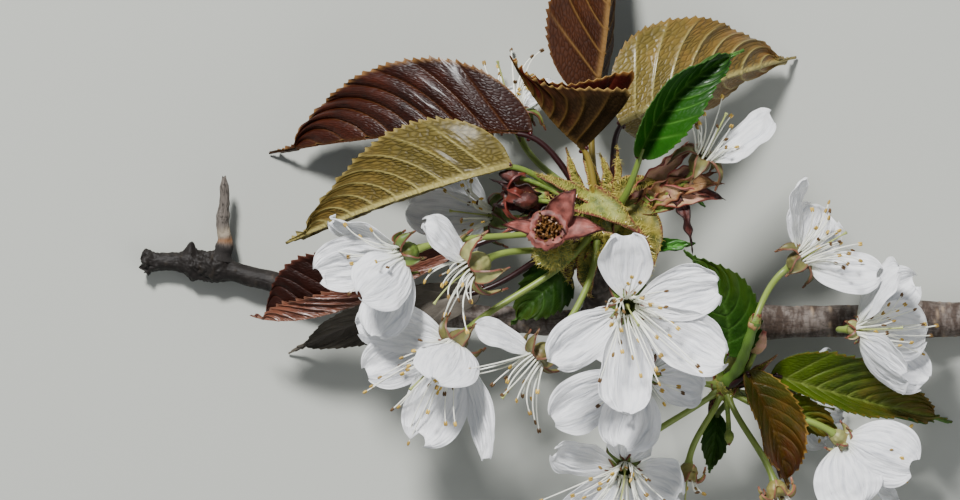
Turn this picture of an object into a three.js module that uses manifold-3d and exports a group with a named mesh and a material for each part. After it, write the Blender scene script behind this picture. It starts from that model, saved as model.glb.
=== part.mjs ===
// A flowering branch of a cherry with single white blossom and bronze young leaves, cut and laid down.
// Millimetres, +Z up. The branch runs along X, its blossom faces up, and the floor is Z = 0.

import * as THREE from "three";
import { mergeVertices } from "three/addons/utils/BufferGeometryUtils.js";
import Module from "manifold-3d";

const wasm = await Module();
wasm.setup();

// Driving sizes
const GAP = 0.3; // a stalk stops this far from what carries it
const LEAF_THICKNESS = 0.5;
const SCALE_THICKNESS = 0.45;
const PETAL_THICKNESS = 0.3;
const PETIOLE_RADIUS = 0.65;
const PEDICEL_RADIUS = 0.5;
const FILAMENT_RADIUS = 0.17;
const CUP_RADIUS = 1.9; // the cup under a bloom
const CUP_DEPTH = 3.4;
const SEPAL_LENGTH = 4.6;
const BRANCH_THIN_END = 1.45; // radii
const BRANCH_CUT_END = 3.0;
const HEAD_RADIUS = 4.0; // the head of the central spur
const KNOT_RADIUS = 2.2; // the head of the right spur
const SPUR_RADIUS = 2.1; // the woody stem under the central head
const SHOOT_RADIUS = 1.25; // the green stem under the right one
const TWIG_BASE_RADIUS = 1.35;
const TWIG_TIP_RADIUS = 0.7;
const TWIG_COLLAR = 0.35; // the ring where the dead twig grew from the branch
const SPUR_RING = 0.12; // the rings of a year's growth on the woody stem, as a share of its radius
const SPUR_RING_WAVE = 40; // radians of that ringing from end to end
const GOLDEN_ANGLE = 2.4; // radians from one stamen to the next
const STAMEN_CIRCLE = 0.9; // the radius of the ring where the filaments stand
const RIM_SHARE = 0.75; // a petal's claw stands at this share of the cup's radius
const CUP_RIBS = 10; // two for each sepal

// How finely the faceted shapes are cut
const WOOD_SIDES = 8;
const PETIOLE_SIDES = 5;
const PEDICEL_SIDES = 4;
const FILAMENT_SIDES = 3;

// Colours
const BARK = { color: "#6a5f58", roughness: 0.85 };
const DEAD_WOOD = { color: "#7d746c", roughness: 0.9 };
const BUD_SCALE = { color: "#a8a850", roughness: 0.7 };
const PETAL = { color: "#f4f4f6", roughness: 0.6 };
const CALYX = { color: "#a06050", roughness: 0.7 };
const LEAF_RED = { color: "#4a2b22", roughness: 0.35 };
const LEAF_OLIVE = { color: "#8f8440", roughness: 0.45 };
const LEAF_BRONZE = { color: "#5a3320", roughness: 0.4 };
const LEAF_GREEN = { color: "#2e5a18", roughness: 0.35 };

const v = (p) => new THREE.Vector3(p[0], p[1], p[2]);
const radians = THREE.MathUtils.degToRad;

// Solids

function solid(geometry) {
  const bare = geometry.clone();
  bare.deleteAttribute("normal");
  bare.deleteAttribute("uv");
  const merged = mergeVertices(bare, 1e-4);
  return new wasm.Manifold(new wasm.Mesh({
    numProp: 3,
    vertProperties: merged.attributes.position.array,
    triVerts: new Uint32Array(merged.index.array),
  }));
}

// Fuses the pieces and keeps the largest body, so scraps and sealed hollows go.
function fuse(pieces) {
  const bodies = wasm.Manifold.union(pieces).decompose();
  return bodies.reduce((best, body) => (body.volume() > best.volume() ? body : best));
}

const part = new THREE.Group();

// One sub-part: its pieces fused, as a named mesh with its finish
function add(name, pieces, finish) {
  const body = fuse(pieces).getMesh();
  const geometry = new THREE.BufferGeometry();
  geometry.setAttribute("position", new THREE.BufferAttribute(new Float32Array(body.vertProperties), 3));
  geometry.setIndex(new THREE.BufferAttribute(new Uint32Array(body.triVerts), 1));
  geometry.computeVertexNormals();
  const mesh = new THREE.Mesh(geometry, new THREE.MeshStandardMaterial({ ...finish, metalness: 0 }));
  mesh.name = name;
  part.add(mesh);
}

// A tapering rod along a curve; radiusAt gives its radius from the start, 0, to the end, 1.
function rod(curve, radiusAt, sides, steps) {
  const shape = new THREE.CylinderGeometry(1, 1, 1, sides, steps);
  const frames = curve.computeFrenetFrames(steps, false);
  const place = shape.attributes.position;
  const point = new THREE.Vector3();
  for (let i = 0; i < place.count; i += 1) {
    const u = THREE.MathUtils.clamp(place.getY(i) + 0.5, 0, 1);
    const step = Math.round(u * steps);
    const radius = radiusAt(u);
    curve.getPointAt(u, point);
    point.addScaledVector(frames.binormals[step], place.getX(i) * radius);
    point.addScaledVector(frames.normals[step], place.getZ(i) * radius);
    place.setXYZ(i, point.x, point.y, point.z);
  }
  return solid(shape);
}

const taper = (start, end) => (u) => start + (end - start) * u;

// A thin plate laid along its midrib, for leaves, petals and bud scales. Each half turns up from the midrib
// by fold and bends on by cup towards its edge. Roll turns the plate about its midrib, and rounding pulls the
// corners of the far end back.
function blade({ midrib, face, halfWidth, outline, thickness, fold = 0, cup = 0, rounding = 0, roll = 0,
  across, along }) {
  const plate = new THREE.BoxGeometry(2, 1, 1, across, along, 1);
  const place = plate.attributes.position;
  for (let i = 0; i < place.count; i += 1) {
    const a = place.getX(i);
    const u = THREE.MathUtils.clamp(place.getY(i) + 0.5, 0, 1);
    const t = u * (1 - rounding * a * a * u);
    const tangent = midrib.getTangent(t);
    const up = face.clone().addScaledVector(tangent, -face.dot(tangent)).normalize();
    up.applyAxisAngle(tangent, radians(roll));
    const side = tangent.clone().cross(up).multiplyScalar(Math.sign(a));
    const width = halfWidth * outline(u);
    const chord = radians(fold + (cup * Math.abs(a)) / 2);
    const edge = radians(fold + cup * Math.abs(a)) * Math.abs(Math.sign(a));
    const layer = place.getZ(i) * thickness * (0.4 + 0.6 * Math.min(1, 2 * outline(u)));
    const point = midrib.getPoint(t);
    point.addScaledVector(side, Math.abs(a) * width * Math.cos(chord) - layer * Math.sin(edge));
    point.addScaledVector(up, Math.abs(a) * width * Math.sin(chord) + layer * Math.cos(edge));
    place.setXYZ(i, point.x, point.y, point.z);
  }
  return solid(plate);
}

// The half width along a leaf, as a share of its widest: an oval body that ends in a narrow drip tip
const leafOutline = (u) => 0.05 + 0.95 * Math.sin(Math.PI * Math.min(1, u / 0.9) ** 0.8) ** 0.65;
// A petal widens from a narrow claw to a broad round end.
const petalOutline = (u) => (u < 0.68
  ? 0.12 + 0.88 * Math.sin((Math.PI / 2) * (u / 0.68)) ** 1.3
  : 1 - 0.28 * ((u - 0.68) / 0.32) ** 2);
const scaleOutline = (u) => 1 - 0.8 * u ** 2;

// A curve that leaves `from` along `outward` and reaches `to` along `arriving`.
function stalkCurve(from, outward, to, arriving) {
  const reach = from.distanceTo(to) / 3;
  return new THREE.CubicBezierCurve3(
    from,
    from.clone().addScaledVector(outward, reach),
    to.clone().addScaledVector(arriving, -reach),
    to,
  );
}

// Branch

const branchLine = new THREE.CatmullRomCurve3([
  [-56.7, -2.0, 2.6],
  [-48.8, -2.2, 3.0],
  [-42.3, -3.5, 3.4],
  [-32.5, -6.0, 4.6],
  [-20.0, -9.0, 6.0],
  [-4.2, -11.0, 8.0],
  [20.0, -12.5, 9.0],
  [46.2, -12.2, 7.5],
  [77.0, -11.7, 4.0],
  [88.3, -11.3, 3.1],
].map(v));
const branchRadius = taper(BRANCH_THIN_END, BRANCH_CUT_END);
const branchStart = branchLine.points[0].x;
const branchReach = branchLine.points.at(-1).x - branchStart;

// Old bud scars swell the branch a little: each has its place along the branch, its swell and its length.
const SCARS = [
  [0, 0.4, 0.008],
  [0.05, 1.2, 0.018],
  [0.085, 1.0, 0.016],
  [0.33, 0.3, 0.03],
  [0.71, 0.5, 0.03],
  [0.9, 0.3, 0.02],
];

function scarredRadius(u) {
  const swell = SCARS.reduce((sum, [at, size, long]) => sum + size * Math.exp(-(((u - at) / long) ** 2)), 0);
  return branchRadius(u) + swell;
}

add("main_branch", [rod(branchLine, scarredRadius, WOOD_SIDES, 32)], BARK);

// A seat on the branch at a given X: the place, a gap clear of the bark, and the way out of it.
function branchSeat(x, direction) {
  const u = (x - branchStart) / branchReach;
  const tangent = branchLine.getTangentAt(u);
  const outward = v(direction);
  outward.addScaledVector(tangent, -outward.dot(tangent)).normalize();
  const from = branchLine.getPointAt(u).addScaledVector(outward, scarredRadius(u) + GAP);
  return { from, outward };
}

// Dead twig

const twigSeat = branchSeat(-44, [0, 1, 0.1]);
const twigLine = new THREE.CatmullRomCurve3([
  twigSeat.from,
  twigSeat.from.clone().addScaledVector(twigSeat.outward, 2),
  v([-43.4, 4.4, 4.2]),
  v([-43.0, 8.6, 4.8]),
  v([-43.1, 12.0, 5.4]),
]);

function twigRadius(u) {
  const collar = TWIG_COLLAR * Math.exp(-(((u - 0.1) / 0.07) ** 2));
  return TWIG_BASE_RADIUS + (TWIG_TIP_RADIUS - TWIG_BASE_RADIUS) * u + collar;
}

add("dead_twig", [rod(twigLine, twigRadius, WOOD_SIDES, 14)], DEAD_WOOD);

// Spurs: each is a short woody stem from the branch with a round head that carries leaves and bloom

const head = v([20.0, 5.0, 24.0]);
const knot = v([41.0, -22.8, 18.0]);

// A bud scale: from where it leaves the head to its tip, its half width and the way it faces
function scale([root, bend, tip, halfWidth, face]) {
  return blade({
    midrib: new THREE.QuadraticBezierCurve3(v(root), v(bend), v(tip)),
    face: v(face),
    halfWidth,
    outline: scaleOutline,
    thickness: SCALE_THICKNESS,
    cup: 50,
    rounding: 0.2,
    across: 2,
    along: 4,
  });
}

const HEAD_SCALES = [
  [[17.5, 7.0, 27.6], [21.0, 7.0, 30.2], [26.3, 2.6, 28.4], 2.7, [0.2, 0.4, 1]],
  [[23.2, 5.5, 25.5], [29.0, 5.0, 27.0], [27.8, -3.5, 26.6], 1.9, [0.7, 0.1, 0.7]],
  [[17.0, 8.0, 24.8], [15.6, 12.0, 26.6], [14.4, 17.2, 26.0], 1.2, [0.3, 0.2, 1]],
  [[22.6, 8.0, 25.2], [23.2, 12.0, 27.0], [22.9, 17.6, 28.0], 0.9, [0, -0.2, 1]],
  [[16.2, 1.6, 24.0], [13.6, -3.0, 26.0], [15.6, -6.2, 25.0], 1.8, [-0.3, -0.3, 1]],
];

const spurSeat = branchSeat(20, [0, 0.45, 0.9]);
const spurLine = stalkCurve(spurSeat.from, spurSeat.outward, head, v([0, 0.85, 0.5]).normalize());
const headBall = new THREE.SphereGeometry(HEAD_RADIUS, 10, 7).translate(head.x, head.y, head.z);
const spurRadius = (u) => SPUR_RADIUS * (1 + 0.4 * u + SPUR_RING * Math.cos(u * SPUR_RING_WAVE));
add("central_spur", [
  rod(spurLine, spurRadius, WOOD_SIDES, 8),
  solid(headBall),
  ...HEAD_SCALES.map(scale),
], BUD_SCALE);

const KNOT_SCALES = [
  [[42.4, -21.6, 19.0], [45.0, -18.5, 21.0], [46.6, -14.6, 19.0], 1.3, [0.3, 0.2, 1]],
  [[39.8, -23.8, 17.6], [38.9, -26.6, 18.2], [38.0, -29.4, 17.6], 0.9, [-0.3, 0, 1]],
];

const shootSeat = branchSeat(44.8, [0, -0.35, 0.9]);
const shootLine = stalkCurve(shootSeat.from, shootSeat.outward, knot, v([-0.3, -0.9, 0.3]).normalize());
const knotBall = new THREE.SphereGeometry(KNOT_RADIUS, 8, 6).translate(knot.x, knot.y, knot.z);
add("right_spur", [
  rod(shootLine, taper(SHOOT_RADIUS, SHOOT_RADIUS * 1.1), WOOD_SIDES, 5),
  solid(knotBall),
  ...KNOT_SCALES.map(scale),
], BUD_SCALE);

// A seat on a round head, a gap clear of it, in a given direction
function headSeat(centre, radius, direction) {
  const outward = v(direction).normalize();
  return { from: centre.clone().addScaledVector(outward, radius + GAP), outward };
}

const onHead = (direction) => headSeat(head, HEAD_RADIUS, direction);
const onKnot = (direction) => headSeat(knot, KNOT_RADIUS, direction);

// Leaves

// A leaf: its seat, the base, bend and tip of its midrib, its half width, the way its face looks, its fold,
// and how finely it is cut. The stalk runs into the base of the blade.
function leaf({ name, seat, base, bend, tip, halfWidth, face, fold = 30, cup = 15, finish, across = 4,
  along = 7 }) {
  const midrib = new THREE.QuadraticBezierCurve3(v(base), v(bend), v(tip));
  const stalk = stalkCurve(seat.from, seat.outward, midrib.getPoint(0.06), midrib.getTangent(0));
  add(name, [
    rod(stalk, taper(PETIOLE_RADIUS, PETIOLE_RADIUS * 0.7), PETIOLE_SIDES, 4),
    blade({
      midrib,
      face: v(face),
      halfWidth,
      outline: leafOutline,
      thickness: LEAF_THICKNESS,
      fold,
      cup,
      across,
      along,
    }),
  ], finish);
}

leaf({
  name: "leaf_dark_red_left",
  seat: onHead([-0.55, 0.75, 0.05]),
  base: [8.8, 19.3, 24],
  bend: [-12, 20, 24],
  tip: [-35.5, 16.2, 0.7],
  halfWidth: 12.5,
  face: [0, -0.5, 0.87],
  fold: -30,
  cup: -10,
  finish: LEAF_RED,
});
leaf({
  name: "leaf_olive_left",
  seat: onHead([-0.8, 0.5, 0.35]),
  base: [5.3, 14.3, 29],
  bend: [-14, 9.5, 31],
  tip: [-32.5, 1.2, 12],
  halfWidth: 11.5,
  face: [0.2, 0.6, -0.8],
  fold: 38,
  finish: LEAF_OLIVE,
});
leaf({
  name: "leaf_bronze_upright",
  seat: onHead([-0.12, 0.92, -0.35]),
  base: [19, 25, 20],
  bend: [23.5, 42, 20],
  tip: [21.7, 63.3, 0.7],
  halfWidth: 11,
  face: [-0.65, 0, -0.76],
  fold: 38,
  finish: LEAF_BRONZE,
});
leaf({
  name: "leaf_brown_small",
  seat: onHead([-0.15, 0.75, 0.6]),
  base: [17.3, 17, 28],
  bend: [18, 27, 32],
  tip: [19, 26.5, 21],
  halfWidth: 10.5,
  face: [0, 0.1, 1],
  fold: 22,
  cup: 10,
  finish: LEAF_RED,
});
leaf({
  name: "leaf_golden_upper_right",
  seat: onHead([0.35, 0.93, -0.1]),
  base: [23.3, 21.2, 24],
  bend: [37, 28.5, 24],
  tip: [53.2, 32.5, 0.7],
  halfWidth: 13,
  face: [-0.2, 0.5, -0.8],
  fold: 34,
  finish: LEAF_OLIVE,
});
leaf({
  name: "leaf_green_folded",
  seat: onHead([0.55, 0.4, 0.75]),
  base: [26.6, 15.5, 32],
  bend: [31, 28, 37],
  tip: [44, 33.3, 32],
  halfWidth: 6.2,
  face: [0.1, 0, 1],
  fold: 38,
  finish: LEAF_GREEN,
});
leaf({
  name: "leaf_dark_red_behind",
  seat: onHead([-0.95, -0.1, -0.2]),
  base: [-3, 0, 22],
  bend: [-20, 0, 21],
  tip: [-38.5, -11, 9],
  halfWidth: 8.5,
  face: [0.1, -0.2, 1],
  fold: 15,
  finish: LEAF_RED,
});
leaf({
  name: "leaf_grey_below",
  seat: onHead([-0.75, -0.4, -0.5]),
  base: [0, -7, 17],
  bend: [-18, -10, 15],
  tip: [-32.3, -17.5, 0.7],
  halfWidth: 4.6,
  face: [0, -0.3, 1],
  fold: 20,
  finish: LEAF_RED,
});
leaf({
  name: "leaf_green_lower_right",
  seat: onKnot([0.97, 0.1, 0.1]),
  base: [48.7, -20.8, 19],
  bend: [66, -18, 18],
  tip: [79.7, -29, 0.7],
  halfWidth: 5.4,
  face: [0, 0.2, 1],
  fold: 28,
  finish: LEAF_GREEN,
});
leaf({
  name: "leaf_olive_hanging",
  seat: onKnot([0.45, 0.1, 0.9]),
  base: [44.5, -20.4, 22],
  bend: [50, -28, 24],
  tip: [52.3, -39.2, 14],
  halfWidth: 5,
  face: [0.2, 0.1, 1],
  fold: 25,
  finish: LEAF_OLIVE,
});
leaf({
  name: "leaf_small_right",
  seat: onKnot([0.85, -0.5, 0]),
  base: [49, -26.0, 16],
  bend: [55, -27, 17],
  tip: [60.7, -32, 14],
  halfWidth: 2.8,
  face: [0, 0, 1],
  finish: LEAF_GREEN,
  along: 5,
});
leaf({
  name: "leaf_green_behind_main",
  seat: onKnot([-0.25, 0.75, 0.6]),
  base: [41, -17.5, 23],
  bend: [43.5, -9, 27],
  tip: [34, 0, 29],
  halfWidth: 6,
  face: [0, 0, 1],
  fold: 15,
  finish: LEAF_GREEN,
});
leaf({
  name: "leaf_green_shaded",
  seat: onHead([-0.8, -0.6, -0.25]),
  base: [15, -3.5, 16.5],
  bend: [11, -6, 16],
  tip: [5.2, -12.6, 14],
  halfWidth: 4.6,
  face: [0, 0, 1],
  fold: 12,
  finish: LEAF_GREEN,
  along: 6,
});
leaf({
  name: "leaf_dark_low",
  seat: onKnot([0.3, -0.7, -0.65]),
  base: [39.8, -27.5, 15],
  bend: [39.5, -32, 14],
  tip: [38.5, -37.5, 11],
  halfWidth: 2.6,
  face: [0, 0, 1],
  finish: LEAF_GREEN,
  along: 5,
});
leaf({
  name: "leaf_narrow_arching",
  seat: onHead([0.93, 0.05, -0.3]),
  base: [27.2, 8.4, 21.6],
  bend: [32.3, 12.6, 22],
  tip: [37.7, 7.2, 21],
  halfWidth: 1.4,
  face: [0, 0, 1],
  finish: LEAF_GREEN,
  across: 2,
  along: 6,
});
leaf({
  name: "leaf_blade_right",
  seat: onHead([0.85, -0.45, 0.0]),
  base: [27.6, 1.0, 24],
  bend: [31, 0.2, 25],
  tip: [36, 1.2, 24.6],
  halfWidth: 1.5,
  face: [0, 0.3, 1],
  finish: LEAF_GREEN,
  across: 2,
  along: 5,
});

// Blooms

// Two unit vectors square to an axis, and a function that gives the direction at an angle round it
function roundAxis(axis) {
  const guide = Math.abs(axis.y) < 0.9 ? new THREE.Vector3(0, 1, 0) : new THREE.Vector3(1, 0, 0);
  const first = guide.clone().addScaledVector(axis, -guide.dot(axis)).normalize();
  const second = axis.clone().cross(first);
  return (angle) => first.clone().multiplyScalar(Math.cos(angle)).addScaledVector(second, Math.sin(angle));
}

// The cup and sepals under a bloom in one skin, with the cup's rim at centre and its mouth along axis. Each
// row is [radius, height] from the cup's foot. The sepal row reaches out at every second rib, and stays in
// between.
function calyx(centre, axis, size, sepalLength, reflex) {
  const radius = CUP_RADIUS * size;
  const depth = CUP_DEPTH * size;
  const sepal = [radius + sepalLength * (1 - 0.5 * reflex), depth * 0.8 - sepalLength * reflex];
  const rows = [
    [0, 0],
    [radius * 0.75, depth * 0.2],
    [radius, depth * 0.7],
    sepal,
    [radius, depth],
    [0, depth * 0.9],
  ];
  const cup = new THREE.LatheGeometry(rows.map(([r, h]) => new THREE.Vector2(r, h)), CUP_RIBS);
  const place = cup.attributes.position;
  const sepalRow = rows.indexOf(sepal);
  for (let i = 0; i < place.count; i += 1) {
    const rib = Math.floor(i / rows.length);
    if (i % rows.length === sepalRow && rib % 2 === 1) {
      const angle = (rib * 2 * Math.PI) / CUP_RIBS;
      place.setXYZ(i, radius * 1.02 * Math.sin(angle), depth * 0.85, radius * 1.02 * Math.cos(angle));
    }
  }
  cup.applyQuaternion(new THREE.Quaternion().setFromUnitVectors(new THREE.Vector3(0, 1, 0), axis));
  const foot = centre.clone().addScaledVector(axis, -depth);
  cup.translate(foot.x, foot.y, foot.z);
  return solid(cup);
}

// A petal from the rim of the cup to its tip: [x, y, z, half width, roll]
function petal(centre, axis, [x, y, z, halfWidth, roll = 0]) {
  const tip = v([x, y, z]);
  const out = tip.clone().sub(centre);
  const length = out.length();
  out.addScaledVector(axis, -out.dot(axis)).normalize();
  const root = centre.clone().addScaledVector(out, CUP_RADIUS * RIM_SHARE).addScaledVector(axis, -0.3);
  const bend = root.clone().lerp(tip, 0.5);
  bend.addScaledVector(axis, -length * 0.1).addScaledVector(out, length * 0.06);
  return blade({
    midrib: new THREE.QuadraticBezierCurve3(root, bend, tip),
    face: axis.clone().addScaledVector(out, -0.5),
    halfWidth,
    outline: petalOutline,
    thickness: PETAL_THICKNESS,
    cup: 35,
    rounding: 0.22,
    roll,
    across: 4,
    along: 3,
  });
}

// Stamens spread round the axis and lean towards `sweep`
function stamens(centre, axis, count, length, sweep) {
  const at = roundAxis(axis);
  const pieces = [];
  for (let k = 0; k < count; k += 1) {
    const out = at(k * GOLDEN_ANGLE);
    const root = centre.clone().addScaledVector(out, STAMEN_CIRCLE).addScaledVector(axis, -0.7);
    const spread = 0.25 + 0.45 * ((k * 0.618) % 1);
    const reach = length * (0.75 + 0.25 * ((k * 0.382) % 1));
    const middle = root.clone().addScaledVector(axis, reach * 0.6);
    middle.addScaledVector(out, reach * spread * 0.4);
    const end = root.clone().addScaledVector(axis, reach * 0.8).addScaledVector(out, reach * spread);
    end.addScaledVector(sweep, reach * 0.4);
    const line = new THREE.QuadraticBezierCurve3(root, middle, end);
    pieces.push(rod(line, taper(FILAMENT_RADIUS, FILAMENT_RADIUS * 1.3), FILAMENT_SIDES, 2));
  }
  return pieces;
}

// A bloom: its seat, the centre of its cup's rim, the way it faces, its petals, and its stamens
function bloom({ name, seat, centre, axis, petals, filaments = 5, length = 9, sweep = [0, 0, 0], size = 1,
  sepalLength = SEPAL_LENGTH * size, reflex = 0.75 }) {
  const middle = v(centre);
  const facing = v(axis).normalize();
  const foot = middle.clone().addScaledVector(facing, -CUP_DEPTH * size * 0.85);
  const pedicel = stalkCurve(seat.from, seat.outward, foot, facing);
  add(name, [
    rod(pedicel, taper(PEDICEL_RADIUS, PEDICEL_RADIUS * 1.15), PEDICEL_SIDES, 6),
    calyx(middle, facing, size, sepalLength, reflex),
    ...petals.map((one) => petal(middle, facing, one)),
    ...stamens(middle, facing, filaments, length, v(sweep)),
  ], petals.length ? PETAL : CALYX);
}

bloom({
  name: "bloom_main",
  seat: onHead([0.3, -0.85, 0.45]),
  centre: [24.5, -9.5, 44],
  axis: [0.05, -0.1, 1],
  petals: [
    [24.2, 2.2, 48, 4.9],
    [39.2, -5.4, 47, 4.8],
    [41.0, -18.0, 46.5, 5.0],
    [24.4, -27.0, 46, 5.2],
    [11.6, -17.8, 47, 4.7],
  ],
  filaments: 9,
  length: 9,
  sweep: [0.4, -0.6, 0],
});
bloom({
  name: "bloom_left_cup",
  seat: onHead([-0.95, -0.25, 0.15]),
  centre: [-13.8, -0.5, 35],
  axis: [-0.75, 0, 0.65],
  petals: [
    [-25.5, 4.2, 37, 3.6],
    [-27.6, -3.6, 37, 4.6],
    [-17.2, -10.0, 40, 4.8],
    [-20.0, -12.4, 33, 4.2],
    [-15.5, 8.0, 41, 3.6],
  ],
  length: 8,
});
bloom({
  name: "bloom_left_small",
  seat: onHead([-0.72, -0.65, 0.22]),
  centre: [-2.3, -2.3, 34.5],
  axis: [-0.8, -0.45, 0.3],
  petals: [
    [-9.8, 4.8, 38.5, 3.2, 40],
  ],
  filaments: 6,
  length: 10,
  sweep: [0, -0.5, 0],
  size: 1.25,
});
bloom({
  name: "bloom_lower_left",
  seat: onHead([-0.5, -0.75, 0.45]),
  centre: [-8.0, -19.5, 32],
  axis: [-0.4, -0.35, 0.85],
  petals: [
    [-4.0, -15.0, 44, 4.6],
    [-21.0, -12.6, 29, 3.8],
    [-19.4, -21.0, 31, 3.8],
    [-9.6, -32.6, 32, 5.0],
    [1.5, -35.2, 36, 3.2],
  ],
  filaments: 6,
  length: 10,
  sweep: [-0.2, -0.3, 0],
});
bloom({
  name: "bloom_lower_middle",
  seat: onHead([-0.1, -0.95, 0.3]),
  centre: [9.3, -18.3, 33],
  axis: [-0.75, -0.6, 0.2],
  petals: [
    [-0.9, -12.6, 36, 3.2, 55],
    [4.0, -18.0, 22, 4.0],
  ],
  filaments: 6,
  length: 10,
});
bloom({
  name: "bloom_behind_main",
  seat: onKnot([-0.9, 0.1, 0.45]),
  centre: [26.7, -20.8, 31],
  axis: [-0.1, -0.25, 0.95],
  petals: [
    [11.6, -27.0, 34, 4.6],
    [23.5, -33.0, 34, 5.0],
    [37.0, -23.0, 33, 4.6],
    [33.0, -9.5, 33, 4.6],
    [18.0, -10.5, 33, 4.6],
  ],
});
bloom({
  name: "bloom_bottom",
  seat: onKnot([-0.75, -0.55, 0.35]),
  centre: [24.2, -36.8, 26],
  axis: [0, -0.45, 0.9],
  petals: [
    [11.7, -34.5, 29, 4.4],
    [25.4, -31.0, 31, 4.0],
    [34.4, -39.6, 29, 4.8],
    [30.0, -50.0, 22, 5.0],
    [17.0, -49.0, 22, 5.0],
  ],
});
bloom({
  name: "bloom_upper_right",
  seat: onHead([0.9, 0.42, 0.12]),
  centre: [37.3, 15.8, 31],
  axis: [0.45, 0.75, 0.35],
  petals: [
    [49.0, 22.0, 33, 4.4, 40],
    [46.0, 20.0, 20, 4.0],
  ],
  filaments: 6,
  length: 9,
});
bloom({
  name: "bloom_right_upper",
  seat: branchSeat(47.5, [0, 0.5, 0.9]),
  centre: [54.2, -1.6, 27],
  axis: [0.7, 0.45, 0.35],
  petals: [
    [53.4, 12.3, 30, 3.4, 0],
    [51.5, 5.6, 38, 4.0],
    [67.2, -3.4, 28, 3.6],
    [60.0, 6.0, 14, 4.6],
  ],
  filaments: 6,
  length: 9,
});
bloom({
  name: "bloom_right_middle",
  seat: branchSeat(52, [0, -0.25, 0.95]),
  centre: [62.0, -14.2, 25],
  axis: [0.8, 0, 0.5],
  petals: [
    [69.4, -2.4, 27, 3.6],
    [75.0, -14.4, 24, 4.4],
    [71.0, -23.0, 27, 4.2],
    [66.0, -13.0, 38, 4.0],
    [68.0, -12.0, 12, 4.2],
  ],
  filaments: 6,
  length: 9,
});
bloom({
  name: "bloom_right_lower",
  seat: onKnot([0.75, -0.45, 0.5]),
  centre: [60.3, -32.0, 21],
  axis: [0.4, -0.5, 0.75],
  petals: [
    [72.8, -36.0, 21, 5.0],
    [64.0, -43.5, 14, 5.0],
    [56.5, -39.0, 30, 3.8],
    [66.0, -27.5, 31, 3.8],
  ],
});
bloom({
  name: "bloom_behind_left",
  seat: onHead([-0.85, 0.15, -0.5]),
  centre: [1.5, 5.8, 14],
  axis: [-0.85, 0.1, 0.3],
  petals: [
    [-12.5, 6.6, 12, 4.2],
    [-5.0, 13.0, 5, 4.4],
    [-5.0, -2.0, 6, 4.4],
  ],
});
bloom({
  name: "bloom_behind_top",
  seat: onHead([-0.4, 0.55, -0.7]),
  centre: [5.5, 23.0, 10],
  axis: [-0.25, 0.85, 0.2],
  petals: [
    [-4.5, 26.5, 9, 4.4],
    [13.0, 28.0, 7, 4.4],
    [3.0, 26.5, 2.5, 4.0],
  ],
  length: 9,
});
bloom({
  name: "bloom_behind_right",
  seat: onKnot([0.7, -0.3, -0.6]),
  centre: [53.0, -25.0, 9],
  axis: [0.75, -0.2, 0.2],
  petals: [
    [62.0, -26.5, 10, 4.2],
    [59.0, -17.0, 4, 4.2],
    [58.0, -33.0, 4, 4.2],
  ],
});

// Spent calyces and buds, with no petals left

bloom({
  name: "calyx_front",
  seat: onHead([-0.45, -0.15, 0.88]),
  centre: [11.5, 3.5, 36],
  axis: [-0.25, -0.2, 0.95],
  petals: [],
  filaments: 0,
  size: 1.5,
  sepalLength: 4.8,
  reflex: 0.35,
});
bloom({
  name: "calyx_hanging",
  seat: onKnot([-0.35, -0.8, 0.5]),
  centre: [34.6, -38.6, 22],
  axis: [-0.1, -1, 0.1],
  petals: [],
  filaments: 3,
  length: 5,
  size: 0.75,
});
bloom({
  name: "calyx_low_right",
  seat: onKnot([0.3, -0.85, 0.45]),
  centre: [50.0, -41.5, 25],
  axis: [0.3, -0.95, 0.2],
  petals: [],
  filaments: 3,
  length: 5,
  size: 0.9,
});
bloom({
  name: "calyx_left",
  seat: onHead([-0.9, 0.2, 0.35]),
  centre: [4.3, 9.5, 27.2],
  axis: [-0.9, 0.1, 0.2],
  petals: [],
  filaments: 0,
  size: 0.8,
});

// The origin is the middle of the underside of the whole branch.

const box = new THREE.Box3().setFromObject(part);
const middle = box.getCenter(new THREE.Vector3());
part.position.set(-middle.x, -middle.y, -box.min.z);

export default part;
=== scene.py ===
import math
import bpy
import numpy as np
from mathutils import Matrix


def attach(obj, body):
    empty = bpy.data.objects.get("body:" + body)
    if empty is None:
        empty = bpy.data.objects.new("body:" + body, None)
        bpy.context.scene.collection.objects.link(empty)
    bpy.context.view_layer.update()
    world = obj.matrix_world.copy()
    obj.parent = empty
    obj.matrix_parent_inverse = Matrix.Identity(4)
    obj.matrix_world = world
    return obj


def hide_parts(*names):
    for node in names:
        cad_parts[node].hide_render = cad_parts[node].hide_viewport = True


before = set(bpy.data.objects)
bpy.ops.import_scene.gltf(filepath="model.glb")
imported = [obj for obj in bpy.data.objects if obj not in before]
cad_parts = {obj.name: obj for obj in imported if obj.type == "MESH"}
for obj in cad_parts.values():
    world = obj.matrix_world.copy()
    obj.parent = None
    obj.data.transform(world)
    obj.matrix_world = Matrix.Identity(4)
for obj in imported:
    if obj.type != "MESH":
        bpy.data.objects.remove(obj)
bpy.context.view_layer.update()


# Table, light and camera
# A cut branch of cherry lies on a plain pale table top and is seen from straight above, as the photograph
# looks at it. A large soft lamp stands at the upper left and a weaker one opposite.

MM = 0.001
CUT_END = np.array([88.3, -11.3, 3.1])  # the middle of the branch's cut face, in modelling millimetres
VIEW_HEIGHT = 2400
VIEW_LENS = 540  # a lens this long shows 160 mm of table across the frame
AIM = np.array([0, 0, 30])
LAMPS = [  # name, place, size and power
    ("key_lamp", (-0.36, 0.74, 0.98), 0.2, 30),
    ("fill_lamp", (0.8, -0.6, 0.9), 0.9, 5),
]
AIR_LIGHT = 0.3
TABLE_REACH = 3.0


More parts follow.
